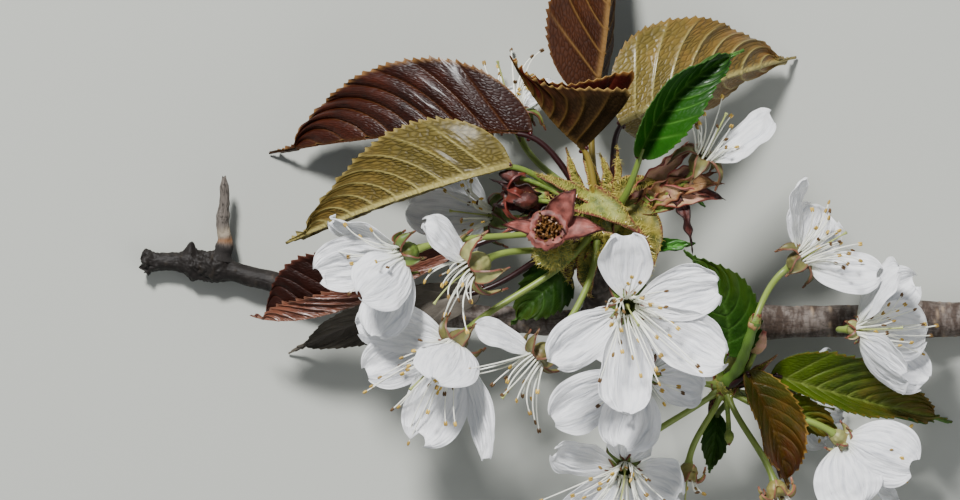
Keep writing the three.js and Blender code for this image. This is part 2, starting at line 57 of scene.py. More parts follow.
def colour(code):
    """A linear RGBA colour from an sRGB hex code: a share above 0.04045 is ((c + 0.055) / 1.055) ** 2.4."""
    share = np.array([int(code[k:k + 2], 16) for k in (1, 3, 5)]) / 255
    linear = np.where(share > 0.04045, ((share + 0.055) / 1.055) ** 2.4, share / 12.92)
    return (*linear.tolist(), 1.0)


def new_finish(name, **surface):
    """A material whose surface shader has the inputs that are given by name."""
    finish = bpy.data.materials.new(name)
    finish.use_nodes = True
    shader = finish.node_tree.nodes["Principled BSDF"]
    for key, value in surface.items():
        value = colour(value) if isinstance(value, str) else value
        shader.inputs[key.replace("_", " ")].default_value = value
    return finish


# The solids' place in the shared frame is read from the cut face of the branch.
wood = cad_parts["main_branch"].data
wood_points = np.empty(len(wood.vertices) * 3)
wood.vertices.foreach_get("co", wood_points)
wood_points = wood_points.reshape(-1, 3) / MM
cut_face = np.unique(wood_points[wood_points[:, 0] > wood_points[:, 0].max() - 1].round(3), axis=0)
shift = cut_face.mean(0) - CUT_END

camera = bpy.data.cameras.new("camera")
camera.lens = VIEW_LENS
camera.clip_end = 20
viewer = bpy.data.objects.new("camera", camera)
viewer.location = (AIM + shift + (0, 0, VIEW_HEIGHT)) * MM
bpy.context.collection.objects.link(viewer)
bpy.context.scene.camera = viewer

for name, place, size, power in LAMPS:
    lamp = bpy.data.lights.new(name, "AREA")
    lamp.size = size
    lamp.energy = power
    holder = bpy.data.objects.new(name, lamp)
    holder.location = place
    holder.rotation_euler = (-holder.location).to_track_quat("-Z", "Y").to_euler()
    bpy.context.collection.objects.link(holder)
world = bpy.data.worlds.new("air")
world.use_nodes = True
world.node_tree.nodes["Background"].inputs["Color"].default_value = colour("#dfe6f0")
world.node_tree.nodes["Background"].inputs["Strength"].default_value = AIR_LIGHT
bpy.context.scene.world = world

table_corners = [(-TABLE_REACH, -TABLE_REACH, 0), (TABLE_REACH, -TABLE_REACH, 0),
                 (TABLE_REACH, TABLE_REACH, 0), (-TABLE_REACH, TABLE_REACH, 0)]
table_mesh = bpy.data.meshes.new("table")
table_mesh.from_pydata(table_corners, [], [(0, 1, 2, 3)])
table = bpy.data.objects.new("table", table_mesh)
table.data.materials.append(new_finish("matt_paint", Base_Color="#b4b6ae", Roughness=0.9))
bpy.context.collection.objects.link(table)


# Branch
# Two or three years' growth of cherry wood under thin grey-brown bark. The bark has pale pores that run
# round it and fine cracks along it. The thin end is broken, and its bark is painted nearly black with shade;
# the thick end is cut clean.

BRANCH_THIN_END = 1.45
BRANCH_CUT_END = 3.0
BARK_THICKNESS = 0.55
CUT_EDGE = 0.12  # the bark's edge is rounded off by this much at the cut
BRANCH_ROWS = 760
BRANCH_SIDES = 96
BRANCH_POINTS = [
    (-56.7, -2.0, 2.6),
    (-48.8, -2.2, 3.0),
    (-42.3, -3.5, 3.4),
    (-32.5, -6.0, 4.6),
    (-20.0, -9.0, 6.0),
    (-4.2, -11.0, 8.0),
    (20.0, -12.5, 9.0),
    (46.2, -12.2, 7.5),
    (77.0, -11.7, 4.0),
    (88.3, -11.3, 3.1),
]
SCARS = [  # where an old scar swells the branch: its place along it, its swell and its length
    (0, 0.3, 0.012),
    (0.055, 0.6, 0.009),
    (0.083, 0.95, 0.014),
    (0.33, 0.3, 0.03),
    (0.71, 0.5, 0.03),
    (0.9, 0.3, 0.02),
]
KNOBS = [  # an old bud or stub on one side: place, the way it points, height, length and sharpness round
    (0.053, (0, 1, 0.3), 1.9, 0.006, 0.1),
    (0.066, (0, 1, -0.2), 0.8, 0.005, 0.1),
    (0.064, (0, -1, 0.1), 1.2, 0.009, 0.1),
    (0.088, (0, 1, 0), 0.7, 0.014, 0.25),
    (0.070, (0, 0.2, 1), 0.6, 0.007, 0.08),
    (0.003, (0, -1, 0.2), 0.5, 0.005, 0.08),
    (0.43, (0, 0.5, 0.9), 0.8, 0.02, 0.2),
    (0.70, (0, -0.6, 0.7), 0.7, 0.015, 0.2),
    (0.715, (0, 0.5, 0.8), 0.7, 0.015, 0.2),
    (0.86, (0, 0.9, 0.5), 0.6, 0.012, 0.15),
]
NODE_PLACE = 0.068  # the gnarled node of the twig, along the branch
SHADED_UP_TO = -27  # painted shade darkens the bark from the thin end up to here
PORES = 240
PORE_LENGTH = 0.24


def unit(vectors):
    """Each vector divided by its length."""
    vectors = np.asarray(vectors, float)
    return vectors / np.maximum(np.linalg.norm(vectors, axis=-1, keepdims=True), 1e-9)


def evenly(line, count):
    """A line given again by `count` points at even distances along it."""
    reach = np.r_[0, np.linalg.norm(np.diff(line, axis=0), axis=1).cumsum()]
    want = np.linspace(0, reach[-1], count)
    return np.stack([np.interp(want, reach, line[:, k]) for k in range(3)], 1)


def smooth_line(points, count):
    """A curve through points: between two of them a cubic whose slopes weigh the steps on both sides by the
    root of their lengths, and which runs straight on past the ends."""
    p = np.asarray(points, float)
    p = np.vstack([2 * p[0] - p[1], p, 2 * p[-1] - p[-2]])
    d = np.linalg.norm(np.diff(p, axis=0), axis=1, keepdims=True) ** 0.5
    p0, p1, p2, p3 = p[:-3], p[1:-2], p[2:-1], p[3:]
    d0, d1, d2 = d[:-2], d[1:-1], d[2:]
    slope1 = d1 * ((p1 - p0) / d0 - (p2 - p0) / (d0 + d1) + (p2 - p1) / d1)
    slope2 = d1 * ((p2 - p1) / d1 - (p3 - p1) / (d1 + d2) + (p3 - p2) / d2)
    t = np.linspace(0, 1, 40)[None, :, None]
    p1, p2, slope1, slope2 = (x[:, None] for x in (p1, p2, slope1, slope2))
    line = p1 + slope1 * t + (3 * p2 - 3 * p1 - 2 * slope1 - slope2) * t ** 2
    line = line + (2 * p1 - 2 * p2 + slope1 + slope2) * t ** 3
    return evenly(line.reshape(-1, 3), count)


def round_about(line, sides):
    """The outward directions round each point of a line: the cosine of the angle times one vector square
    to the run, plus its sine times the other. The first is near the normal of the plane that the line
    bends in."""
    run = unit(np.gradient(line, axis=-2))
    least = np.eye(3)[np.abs(run.mean(-2)).argmin(-1)]
    guide = unit(np.cross(run[..., 0, :], run[..., -1, :]) + 0.05 * least)[..., None, :]
    first = unit(guide - (guide * run).sum(-1, keepdims=True) * run)[..., None, :]
    second = np.cross(run[..., None, :], first)
    angle = np.linspace(0, 2 * np.pi, sides, endpoint=False)[:, None]
    return np.cos(angle) * first + np.sin(angle) * second


def rough(at, wavelength, seed):
    """Smooth unevenness of about -1 to 1: the sum of 24 cosine waves that run in random directions."""
    draw = np.random.default_rng(seed)
    run = unit(draw.normal(size=(24, 3))) * (2 * np.pi / wavelength * draw.uniform(0.6, 1.5, (24, 1)))
    return np.cos(at @ run.T + draw.uniform(0, 2 * np.pi, 24)).sum(-1) / 5


def swell_at(share, places):
    """The sum of bell-shaped swells along a line: a size times e to the minus square of the distance over a
    length."""
    return sum(size * np.exp(-(((share - at) / long) ** 2)) for at, size, long in places)


def branch_radius(share):
    """Radius of the branch at a share of its length: an even taper with the swells of old scars."""
    return BRANCH_THIN_END + (BRANCH_CUT_END - BRANCH_THIN_END) * share + swell_at(share, SCARS)


def closed(points, map_at=None, finish=0, **marks):
    """A closed skin from points in rows that run along and columns that run round. Quads join each row to
    the next, and both end rows are zipped shut from side to side. It is turned inside out if its volume,
    a third of the sum of each face's area vector times its place, is negative. Several skins may be given
    at once."""
    points = np.asarray(points, float)
    rows, cols = points.shape[-3:-1]
    count = points.size // (rows * cols * 3)
    at = np.arange(rows * cols).reshape(rows, cols)
    after = np.roll(at, -1, 1)
    sides = np.stack([at[:-1], after[:-1], after[1:], at[1:]], -1).reshape(-1, 4)
    k = np.arange(cols // 2 - 1)
    zipped = np.stack([k, k + 1, cols - 2 - k, cols - 1 - k], 1)
    ends = np.vstack([zipped[:, ::-1], zipped + (rows - 1) * cols])
    quads = np.vstack([sides, ends])
    column = np.r_[np.tile(np.arange(cols), rows - 1), k, k]
    if map_at is None:
        u, v = np.meshgrid(np.arange(cols + 1) / cols, np.linspace(0, 1, rows))
        wide = np.stack([u, v], -1).reshape(-1, 2)
        wide_at = np.arange(rows * (cols + 1)).reshape(rows, cols + 1)
        corner = np.stack([wide_at[:-1, :-1], wide_at[:-1, 1:], wide_at[1:, 1:], wide_at[1:, :-1]], -1)
        corner_map = wide[np.vstack([corner.reshape(-1, 4), ends // cols * (cols + 1) + ends % cols])]
    else:
        corner_map = np.asarray(map_at, float).reshape(-1, 2)[quads]
    flat_points = points.reshape(-1, 3)
    all_quads = (quads + np.arange(count)[:, None, None] * rows * cols).reshape(-1, 4)
    corner_map = np.tile(corner_map, (count, 1, 1))
    a, b, c, d = (flat_points[all_quads[:, j]] for j in range(4))
    if (np.cross(c - a, d - b) * (a + b + c + d)).sum() < 0:
        all_quads = all_quads[:, ::-1]
        corner_map = corner_map[:, ::-1]
    index = np.broadcast_to(finish, cols)[np.tile(column, count)]
    given = {key: np.broadcast_to(value, points.shape[:-1]).reshape(-1) for key, value in marks.items()}
    return {"points": flat_points, "quads": all_quads, "map": corner_map, "finish": index, "marks": given}


def grow(name, skins, finishes, slot, *nodes):
    """One object from skins, in metres in the shared frame: it rides on the branch's body and stands for the
    named solids. Its slot is not used."""
    start = np.r_[0, np.cumsum([len(skin["points"]) for skin in skins])]
    points = np.vstack([skin["points"] for skin in skins])
    quads = np.vstack([skin["quads"] + first for skin, first in zip(skins, start)])
    mesh = bpy.data.meshes.new(name)
    mesh.vertices.add(len(points))
    mesh.vertices.foreach_set("co", ((points + shift) * MM).ravel())
    mesh.loops.add(quads.size)
    mesh.polygons.add(len(quads))
    mesh.polygons.foreach_set("loop_start", np.arange(0, quads.size, 4))
    mesh.polygons.foreach_set("vertices", quads.ravel())
    mesh.polygons.foreach_set("material_index", np.concatenate([skin["finish"] for skin in skins]))
    mesh.update(calc_edges=True)
    corner_map = np.vstack([skin["map"].reshape(-1, 2) for skin in skins])
    mesh.uv_layers.new(name="surface").uv.foreach_set("vector", corner_map.ravel())
    for key in sorted({key for skin in skins for key in skin["marks"]}):
        values = [skin["marks"].get(key, np.zeros(len(skin["points"]))) for skin in skins]
        mesh.attributes.new(key, "FLOAT", "POINT").data.foreach_set("value", np.concatenate(values))
    mesh.shade_smooth()
    mesh.set_sharp_from_angle(angle=math.radians(50))
    for finish in finishes:
        mesh.materials.append(finish)
    grown = bpy.data.objects.new(name, mesh)
    bpy.context.collection.objects.link(grown)
    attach(grown, "root")
    if nodes:
        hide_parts(*nodes)


branch_line = smooth_line(BRANCH_POINTS, BRANCH_ROWS)
branch_share = np.linspace(0, 1, BRANCH_ROWS)
outward = round_about(branch_line, BRANCH_SIDES)
radius = branch_radius(branch_share)[:, None]
for at, way, height, long, sharp in KNOBS:
    beside = np.exp((outward @ unit(way) - 1) / sharp)
    radius = radius + height * beside * swell_at(branch_share, [(at, 1, long)])[:, None]
skin_at = branch_line[:, None] + outward * radius[..., None]
# Cracks run along the branch, so the waves that make them are stretched five times that way.
crack = np.clip(np.abs(rough(skin_at * (0.2, 1, 1), 0.75, 11)) * 2.6, 0, 1)
lumps = rough(skin_at, 6.0, 12)
draw = np.random.default_rng(5)
pore_place = draw.integers(20, BRANCH_ROWS - 8, PORES)
pore_side = draw.uniform(0, 2 * np.pi, PORES)
pore_width = draw.uniform(0.08, 0.42, PORES)
angle = np.linspace(0, 2 * np.pi, BRANCH_SIDES, endpoint=False)
branch_length = np.linalg.norm(np.diff(branch_line, axis=0), axis=1).sum()
along_gap = (branch_share[:, None] - branch_share[pore_place]) * branch_length / PORE_LENGTH
round_gap = np.angle(np.exp(1j * (angle[:, None] - pore_side))) / pore_width
pore = np.einsum("ip,jp->ij", np.exp(-along_gap ** 2), np.exp(-round_gap ** 2)).clip(0, 1)
gnarled = swell_at(branch_share, [(NODE_PLACE, 1, 0.028)])[:, None]
ragged = swell_at(branch_share, [(0, 1, 0.014)])[:, None]
radius = radius + 0.10 * lumps - 0.06 * (1 - crack) + 0.10 * pore
radius = radius + gnarled * (0.2 * rough(skin_at, 1.5, 14) + 0.12 * rough(skin_at, 0.7, 15))
radius = radius + ragged * (0.32 * rough(skin_at, 1.5, 13) + 0.18 * rough(skin_at, 0.8, 16))
# Painted shade: the bark goes nearly black from the thin end up to the place set above, with a border made
# uneven by the lumps.
shaded_end = 1 / (1 + np.exp((skin_at[..., 0] - SHADED_UP_TO + 3 * lumps) / 2.6))
branch_skin = branch_line[:, None] + outward * radius[..., None]
# The broken end is torn: its rim runs out unevenly along the branch.
torn = 0.5 * rough(outward[0] * 1.3, 1.2, 17)
torn_edge = swell_at(branch_share, [(0, 1, 0.005)])
branch_skin = branch_skin + torn_edge[:, None, None] * torn[None, :, None] * (-1, 0, 0)
# The cut face: the bark's edge turns in by its thickness, and the pale wood fills the rest.
end_run = unit(branch_line[-1] - branch_line[-2])
inner = branch_line[-1] + outward[-1] * (radius[-1][:, None] - BARK_THICKNESS) + end_run * 0.02
branch_skin[-1] = branch_line[-1] + outward[-1] * (radius[-1][:, None] - CUT_EDGE)
branch_solid = closed(np.concatenate([branch_skin, inner[None]]), pore=np.vstack([pore, pore[-1:] * 0]),
                      crack=np.vstack([crack, crack[-1:]]), dark=np.vstack([shaded_end, shaded_end[-1:] * 0]))
branch_solid["finish"][-(BRANCH_SIDES // 2 - 1):] = 1


def add_node(tree, kind, inputs, out=0, **settings):
    """Adds a shader node, sets its properties, sets or links its inputs, and gives one of its outputs."""
    made = tree.nodes.new("ShaderNode" + kind)
    for key, value in settings.items():
        setattr(made, key, value)
    for key, value in inputs.items():
        if isinstance(value, bpy.types.NodeSocket):
            tree.links.new(value, made.inputs[key])
        else:
            made.inputs[key].default_value = colour(value) if isinstance(value, str) else value
    return made.outputs[out]


def coated(tree, tone, *coats):
    """A tone with coats of colour laid over it in turn. Each coat is what it follows, the two values of
    that between which it comes on, its share at both of them, and its colour."""
    for follows, low, high, least, most, over in coats:
        share = add_node(tree, "MapRange", {0: follows, 1: low, 2: high, 3: least, 4: most})
        tone = add_node(tree, "Mix", {0: share, 6: tone, 7: over}, out=2, data_type="RGBA")
    return tone


def dress(finish, tone, *reliefs):
    """Gives a finish its tone and its reliefs, one on another: each is a height from 0 to 1, the strength
    that it shows with and its depth in metres."""
    tree = finish.node_tree
    shader = tree.nodes["Principled BSDF"]
    tree.links.new(tone, shader.inputs["Base Color"])
    below = {}
    for height, strength, depth in reliefs:
        bump = add_node(tree, "Bump", {"Height": height, "Strength": strength, "Distance": depth, **below})
        below = {"Normal": bump}
        tree.links.new(bump, shader.inputs["Normal"])


# Young cherry bark is smooth and waxy, grey-brown with a silver film. Its last coat darkens it nearly to
# black: painted shade on the branch's thin end, and a third of the way on the spur's stem.
bark = new_finish("cherry_bark", Roughness=0.62, Specular_IOR_Level=0.3)
tree = bark.node_tree
where = add_node(tree, "TexCoord", {}, "Object")
pore_mark, crack_mark, dark_mark = (add_node(tree, "Attribute", {}, "Fac", attribute_name=mark)
                                    for mark in ("pore", "crack", "dark"))
across_way = add_node(tree, "Mapping", {"Vector": where, "Scale": (2.2, 0.8, 0.8)})
# The film peels in bands that run round the branch, about 2 mm wide, over a 0.4 mm grain.
film = add_node(tree, "TexNoise", {"Vector": across_way, "Scale": 300, "Detail": 5, "Roughness": 0.65})
grain = add_node(tree, "TexNoise", {"Vector": where, "Scale": 2400, "Detail": 3})
tone = coated(tree, "#3a302a",
              (film, 0.42, 0.6, 0, 1, "#807872"),
              (grain, 0, 1, 0, 0.7, "#57463b"),
              (crack_mark, 0, 1, 0.6, 0, "#2a211c"),
              (pore_mark, 0, 1, 0, 0.7, "#a08a72"),
              # painted shade, nearly black on the branch's thin end
              (dark_mark, 0, 1, 0, 0.93, "#100d0b"))
dress(bark, tone, (grain, 0.3, 0.00015))

# Fresh cut cherry wood is pale pink-tan, with a darker pith and faint rings 0.9 mm apart.
cut_wood = new_finish("cut_cherry_wood", Roughness=0.8)
tree = cut_wood.node_tree
where = add_node(tree, "TexCoord", {}, "Object")
from_pith = add_node(tree, "Mapping", {"Vector": where, "Location": (-(CUT_END + shift) * MM).tolist()})
rings = add_node(tree, "TexWave", {"Vector": from_pith, "Scale": 110, "Distortion": 1.2, "Detail": 2}, "Fac",
                 wave_type="RINGS", rings_direction="X")
dress(cut_wood, coated(tree, "#d9b58a", (rings, 0, 1, 0, 1, "#b98a5e")))

grow("branch", [branch_solid], [bark, cut_wood], "bark", "main_branch")


# Dead twig
# A side shoot that died back: grey bare wood, split along its length, with a ragged tip. An orange-tan ring
# marks where its bark ends, above the collar that joins it to the branch.

GAP = 0.3  # the modelled solids stand this far apart, and each real stalk reaches across it
TWIG_BASE_RADIUS = 1.35
TWIG_TIP_RADIUS = 0.7
TWIG_ROWS = 180
TWIG_SIDES = 56


def branch_seat(x, way):
    """A seat on the branch at a given X, a gap clear of the bark, with the way out of it."""
    share = (x - BRANCH_POINTS[0][0]) / (BRANCH_POINTS[-1][0] - BRANCH_POINTS[0][0])
    place = share * (BRANCH_ROWS - 1)
    low = int(place)
    middle = branch_line[low] + (branch_line[low + 1] - branch_line[low]) * (place - low)
    run = unit(branch_line[low + 1] - branch_line[low])
    way = np.array(way, float)
    way = unit(way - (way @ run) * run)
    return middle + way * (branch_radius(share) + GAP), way


seat, way = branch_seat(-44, (0, 1, 0.1))
twig_points = [seat - way * 1.2, seat + way * 2, (-43.4, 4.4, 4.2), (-43.0, 8.6, 4.8), (-43.1, 12.0, 5.4)]
twig_line = smooth_line(twig_points, TWIG_ROWS)
share = np.linspace(0, 1, TWIG_ROWS)
outward = round_about(twig_line, TWIG_SIDES)
radius = TWIG_BASE_RADIUS + (TWIG_TIP_RADIUS - TWIG_BASE_RADIUS) * share
radius = radius + swell_at(share, [(0.16, 0.3, 0.07), (0, 0.7, 0.06), (0.55, 0.15, 0.05)])
twig_at = twig_line[:, None] + outward * radius[:, None, None]
split = np.clip(np.abs(rough(twig_at * (1, 0.1, 1), 0.55, 21)) * 2.4, 0, 1)
radius = radius[:, None] - 0.11 * (1 - split) * share[:, None] ** 0.3 + 0.05 * rough(twig_at, 1.6, 22)
tip_wear = swell_at(share, [(1, 1, 0.05)])[:, None]
twig_skin = twig_line[:, None] + outward * (radius * (1 - 0.45 * tip_wear))[..., None]
jagged = rough(outward[-1] * 1.2, 1.1, 23)
twig_skin = twig_skin + tip_wear[..., None] * jagged[None, :, None] * (0, 0.55, 0)
twig_solid = closed(twig_skin, pale=swell_at(share, [(0.34, 0.7, 0.06)])[:, None],
                    ring=swell_at(share, [(0.25, 0.65, 0.035)])[:, None], split=split,
                    bare=1 / (1 + np.exp((0.2 - share) / 0.02))[:, None])

# Bare wood that has stood in rain turns silver grey, with dark splits; the last bark is brown-black.
dead_wood = new_finish("weathered_wood", Roughness=0.88)
tree = dead_wood.node_tree
where = add_node(tree, "TexCoord", {}, "Object")
split_mark, ring_mark, bare_mark, pale_mark = (add_node(tree, "Attribute", {}, "Fac", attribute_name=mark)
                                               for mark in ("split", "ring", "bare", "pale"))
drawn = add_node(tree, "Mapping", {"Vector": where, "Scale": (1, 0.12, 1)})
# Fibres are drawn 0.3 mm apart, a little coarser than real ones, so that they show.
fibre = add_node(tree, "TexNoise", {"Vector": drawn, "Scale": 3200, "Detail": 3})
tone = coated(tree, "#3a342f",
              (fibre, 0, 1, 0, 1, "#80776e"),
              (split_mark, 0, 1, 1, 0, "#2b2520"),
              (bare_mark, 0, 1, 1, 0, "#1a1512"),
              (pale_mark, 0, 1, 0, 1, "#a89a84"),
              (ring_mark, 0, 1, 0, 1, "#86592e"))
dress(dead_wood, tone, (fibre, 0.5, 0.0002))

grow("dead_twig_wood", [twig_solid], [dead_wood], "dead_wood", "dead_twig")


# Spurs
# Short shoots that carry leaves and bloom. Each is a stem ringed by the scars of earlier years, with a
# round head in downy bud scales. The scales are living green to gold, edged with pink, and covered in hair.

HEAD = np.array([20.0, 5.0, 24.0])
KNOT = np.array([41.0, -22.8, 18.0])
HEAD_RADIUS = 4.0
KNOT_RADIUS = 2.2
SPUR_RADIUS = 2.1
SHOOT_RADIUS = 1.25
SCALE_THICKNESS = 0.3
HAIR_RADIUS = 0.04
GOLDEN_ANGLE = 2.4  # radians from one scale, or stamen, to the next
STEM_ROWS = 90
SHOOT_ROWS = 50
GREEN, HAIR, GOLD, RED = range(4)  # the finishes of a head
HEAD_SCALES = [  # root, bend, tip, half width, the way it faces and its finish
    ((17.5, 8.0, 27.6), (21.0, 7.5, 31.0), (27.2, 2.6, 29.4), 3.3, (0.2, 0.4, 1), GREEN),
    ((23.2, 6.5, 25.5), (31.0, 5.5, 27.6), (28.2, -4.5, 26.6), 3.0, (0.5, 0.1, 0.8), GOLD),
    ((17.0, 8.0, 24.8), (15.6, 12.0, 26.6), (14.4, 17.2, 26.0), 1.3, (0.3, 0.2, 1), GREEN),
    ((22.6, 8.0, 25.2), (23.2, 12.0, 27.0), (22.9, 17.6, 28.0), 0.9, (0, -0.2, 1), GOLD),
    ((16.2, 1.6, 24.0), (13.6, -3.0, 26.0), (15.6, -6.2, 25.0), 1.8, (-0.3, -0.3, 1), RED),
    ((18.5, 8.5, 27.0), (13.5, 11.2, 29.0), (8.0, 13.0, 28.2), 1.3, (0.1, 0.5, 1), GREEN),
    ((20.5, 1.5, 26.5), (22.5, 0.5, 29.0), (24.5, -2.5, 28.0), 2.6, (0.3, -0.5, 1), GOLD),
    ((21.0, 8.6, 25.6), (21.8, 13.0, 26.0), (19.9, 16.2, 25.0), 1.1, (0, -0.3, 1), GOLD),
    ((16.5, 3.5, 26.0), (11.0, 3.0, 27.5), (8.5, -1.5, 26.0), 2.2, (-0.2, -0.3, 1), RED),
    ((18.5, 0.5, 24.5), (17.0, -4.5, 26.5), (18.6, -8.0, 25.0), 2.2, (0, -0.4, 1), GREEN),
    ((22.5, 9.5, 26.0), (26.5, 12.0, 28.0), (31.0, 11.0, 27.0), 1.9, (0, 0.2, 1), GOLD),
    ((16.4, 9.0, 25.5), (11.8, 8.6, 27.5), (6.6, 5.6, 26.5), 1.6, (-0.1, 0.2, 1), RED),
    ((19.5, 9.5, 25.0), (18.2, 14.0, 26.5), (17.0, 18.0, 26.0), 1.2, (0.2, 0, 1), GREEN),
]
KNOT_SCALES = [
    ((42.4, -21.6, 19.0), (45.0, -18.5, 21.0), (46.6, -14.6, 19.0), 1.3, (0.3, 0.2, 1), RED),
    ((39.8, -23.8, 17.6), (38.9, -26.6, 18.2), (38.0, -29.4, 17.6), 0.9, (-0.3, 0, 1), RED),
    ((42.8, -22.4, 19.2), (47.0, -20.0, 21.5), (49.8, -17.4, 21.0), 0.9, (0, 0.3, 1), GOLD),
]
LOBES = [  # middle and radius of the round swellings beside the head
    ((15.2, 0.4, 23.6), 3.3),
    ((23.9, 2.2, 23.0), 3.0),
]


def bezier(control, t):
    """The point at t on a curve: each control point times n over k, times t to the k, times 1 - t to the
    n - k, all added up."""
    control = np.asarray(control, float)
    t = np.asarray(t, float)[..., None]
    last = control.shape[-2] - 1
    k = np.arange(last + 1)
    share = np.array([math.comb(last, one) for one in k]) * t ** k * (1 - t) ** (last - k)
    return share @ control


def stalk_line(start, way, to, arriving, count):
    """A cubic curve that leaves `start` along `way` and reaches `to` along `arriving`, each handle a third
    of the distance. It begins inside what carries it, so that it joins it."""
    reach = np.linalg.norm(to - start) / 3
    curve = bezier([start, start + way * reach, to - arriving * reach, to], np.linspace(0, 1, 60))
    root = start - way * 2 * GAP
    return evenly(np.vstack([root, curve]), count)


def tube(line, radius, sides, finish=0, **marks):
    """A round skin about a line, with one radius for each of its points."""
    radius = np.broadcast_to(radius, line.shape[:-1])[..., None, None]
    spread = {key: np.broadcast_to(value, line.shape[:-1])[..., None] for key, value in marks.items()}
    return closed(line[..., None, :] + round_about(line, sides) * radius, finish=finish, **spread)


def sheet(midrib, face, half_width, outline, a, u, fold=0, cup=0, rounding=0, curl=(0, 0)):
    """A thin plate along its midrib: at the share u along and a across, -1 to 1, the point is the midrib's
    at t = u (1 - rounding a² u), plus |a| times the half width times the outline at u, turned up from the
    side by the fold and half the cup times |a|. The outer 0.4 of each half then bends up along an arc of its
    own angle. The face may turn from one way at the foot to another at the tip. Gives the point, the way
    out of its upper face and the way to its edge."""
    t = u * (1 - rounding * a ** 2 * u)
    midrib = np.asarray(midrib, float)
    run = unit(bezier(np.diff(midrib, axis=0) * (len(midrib) - 1), t))
    face = bezier(np.atleast_2d(face), t)
    up = unit(face - (run * face).sum(-1, keepdims=True) * run)
    side = np.cross(run, up) * np.sign(a)[..., None]
    fold = np.where(a < 0, *np.broadcast_to(fold, 2))
    chord = np.radians(fold + cup * np.abs(a) / 2)[..., None]
    edge = (np.radians(fold + cup * np.abs(a)) * np.abs(np.sign(a)))[..., None]
    width = (np.where(a < 0, *np.broadcast_to(half_width, 2)) * outline(u))[..., None]
    point = bezier(midrib, t) + np.abs(a)[..., None] * width * (side * np.cos(chord) + up * np.sin(chord))
    up, out = up * np.cos(edge) - side * np.sin(edge), side * np.cos(edge) + up * np.sin(edge)
    rim = np.clip(np.abs(a) - 0.6, 0, 0.4)[..., None]
    bent = rim / 0.4 * np.radians(np.where(a < 0, *curl))[..., None]
    raised = bent / 2 * np.sinc(bent / 2 / np.pi) ** 2
    point = point + rim * width * (out * (np.sinc(bent / np.pi) - 1) + up * raised)
    return point, up * np.cos(bent) - out * np.sin(bent), out * np.cos(bent) + up * np.sin(bent)


def both_sides(top, bottom, flat, finish=(0, 0), **marks):
    """A closed thin skin from its upper points and its lower ones, rows along and columns across. `flat` is
    where each point lies in the surface map."""
    around = np.concatenate([top, bottom[:, ::-1]], 1)
    columns = top.shape[1]
    faces = np.r_[np.full(columns - 1, finish[0]), np.full(columns + 1, finish[1])]
    doubled = {key: np.concatenate([value, value[:, ::-1]], 1) for key, value in marks.items()}
    return closed(around, np.concatenate([flat, flat[:, ::-1]], 1), faces, **doubled)


def scale_outline(u):
    """A bud scale's width along it: widest at its foot, and 1 - 0.8 u² after that."""
    return 1 - 0.8 * u ** 2


def bud_scale(root, bend, tip, half_width, face, rows=26, columns=17, crumple=0.12, seed=0, curl=50,
              outline=scale_outline, thickness=SCALE_THICKNESS, finish=0):
    """A downy scale or a bract: a cupped sheet, crumpled and ribbed a little, with a mark that grows towards
    its edge and tip. Its skin also holds the points and ways of its upper face, for hairs to stand on."""
    u, a = np.meshgrid(np.linspace(0, 1, rows), np.linspace(-1, 1, columns), indexing="ij")
    point, up, _ = sheet([root, bend, tip], face, half_width, outline, a, u, cup=curl, rounding=0.2)
    point = point + up * (crumple * rough(point, 2.2, seed) - 0.05 * np.cos(a * 9 * np.pi))[..., None]
    half = up * thickness / 2
    rim = np.clip(np.maximum(np.abs(a) ** 3, u ** 3), 0, 1)
    flat = np.stack([(a + 1) / 2, u], -1)
    skin = both_sides(point + half, point - half, flat, (finish, finish), rim=rim)
    skin["upper"] = point, up
    return skin


def down(points, ways, length, seed, finish):
    """Soft hairs: each a thin cone that leaves its point along its way and bends down over its length."""
    draw = np.random.default_rng(seed)
    ways = unit(ways + draw.normal(scale=0.35, size=ways.shape))
    reach = length * draw.uniform(0.5, 1, (len(points), 1))
    middle = points + ways * reach * 0.55
    end = points + ways * reach + draw.normal(scale=0.25, size=ways.shape) * reach
    end = end - np.array([0, 0, 0.12]) * reach
    lines = bezier(np.stack([points - ways * 0.08, middle, end], 1), np.linspace(0, 1, 3))
    return tube(lines, HAIR_RADIUS * np.array([1, 0.8, 0.15]), 4, finish)


def over(grid_points, grid_ways, count, seed):
    """`count` places and ways taken at random from a grid of them."""
    draw = np.random.default_rng(seed)
    pick = draw.integers(0, grid_points[..., 0].size, count)
    return grid_points.reshape(-1, 3)[pick], grid_ways.reshape(-1, 3)[pick]


def ball(middle, radius, rows=40, columns=56):
    """A sphere's points, rows from pole to pole, and the ways out of them: the sine of the polar angle times
    the cosine and sine of the angle round it, and its cosine upwards."""
    polar = np.linspace(0.02, np.pi - 0.02, rows)[:, None]
    angle = np.linspace(0, 2 * np.pi, columns, endpoint=False)
    level = np.sin(polar)
    ways = np.stack([level * np.cos(angle), level * np.sin(angle), np.cos(polar) + 0 * angle], -1)
    return middle + ways * radius, ways


def lumpy_ball(middle, radius, lumps, wavelength, seed, rows=40, columns=56):
    """A ball whose skin is uneven by `lumps`, and the ways out of it."""
    points, ways = ball(middle, radius, rows, columns)
    return points + ways * (lumps * rough(points, wavelength, seed))[..., None], ways


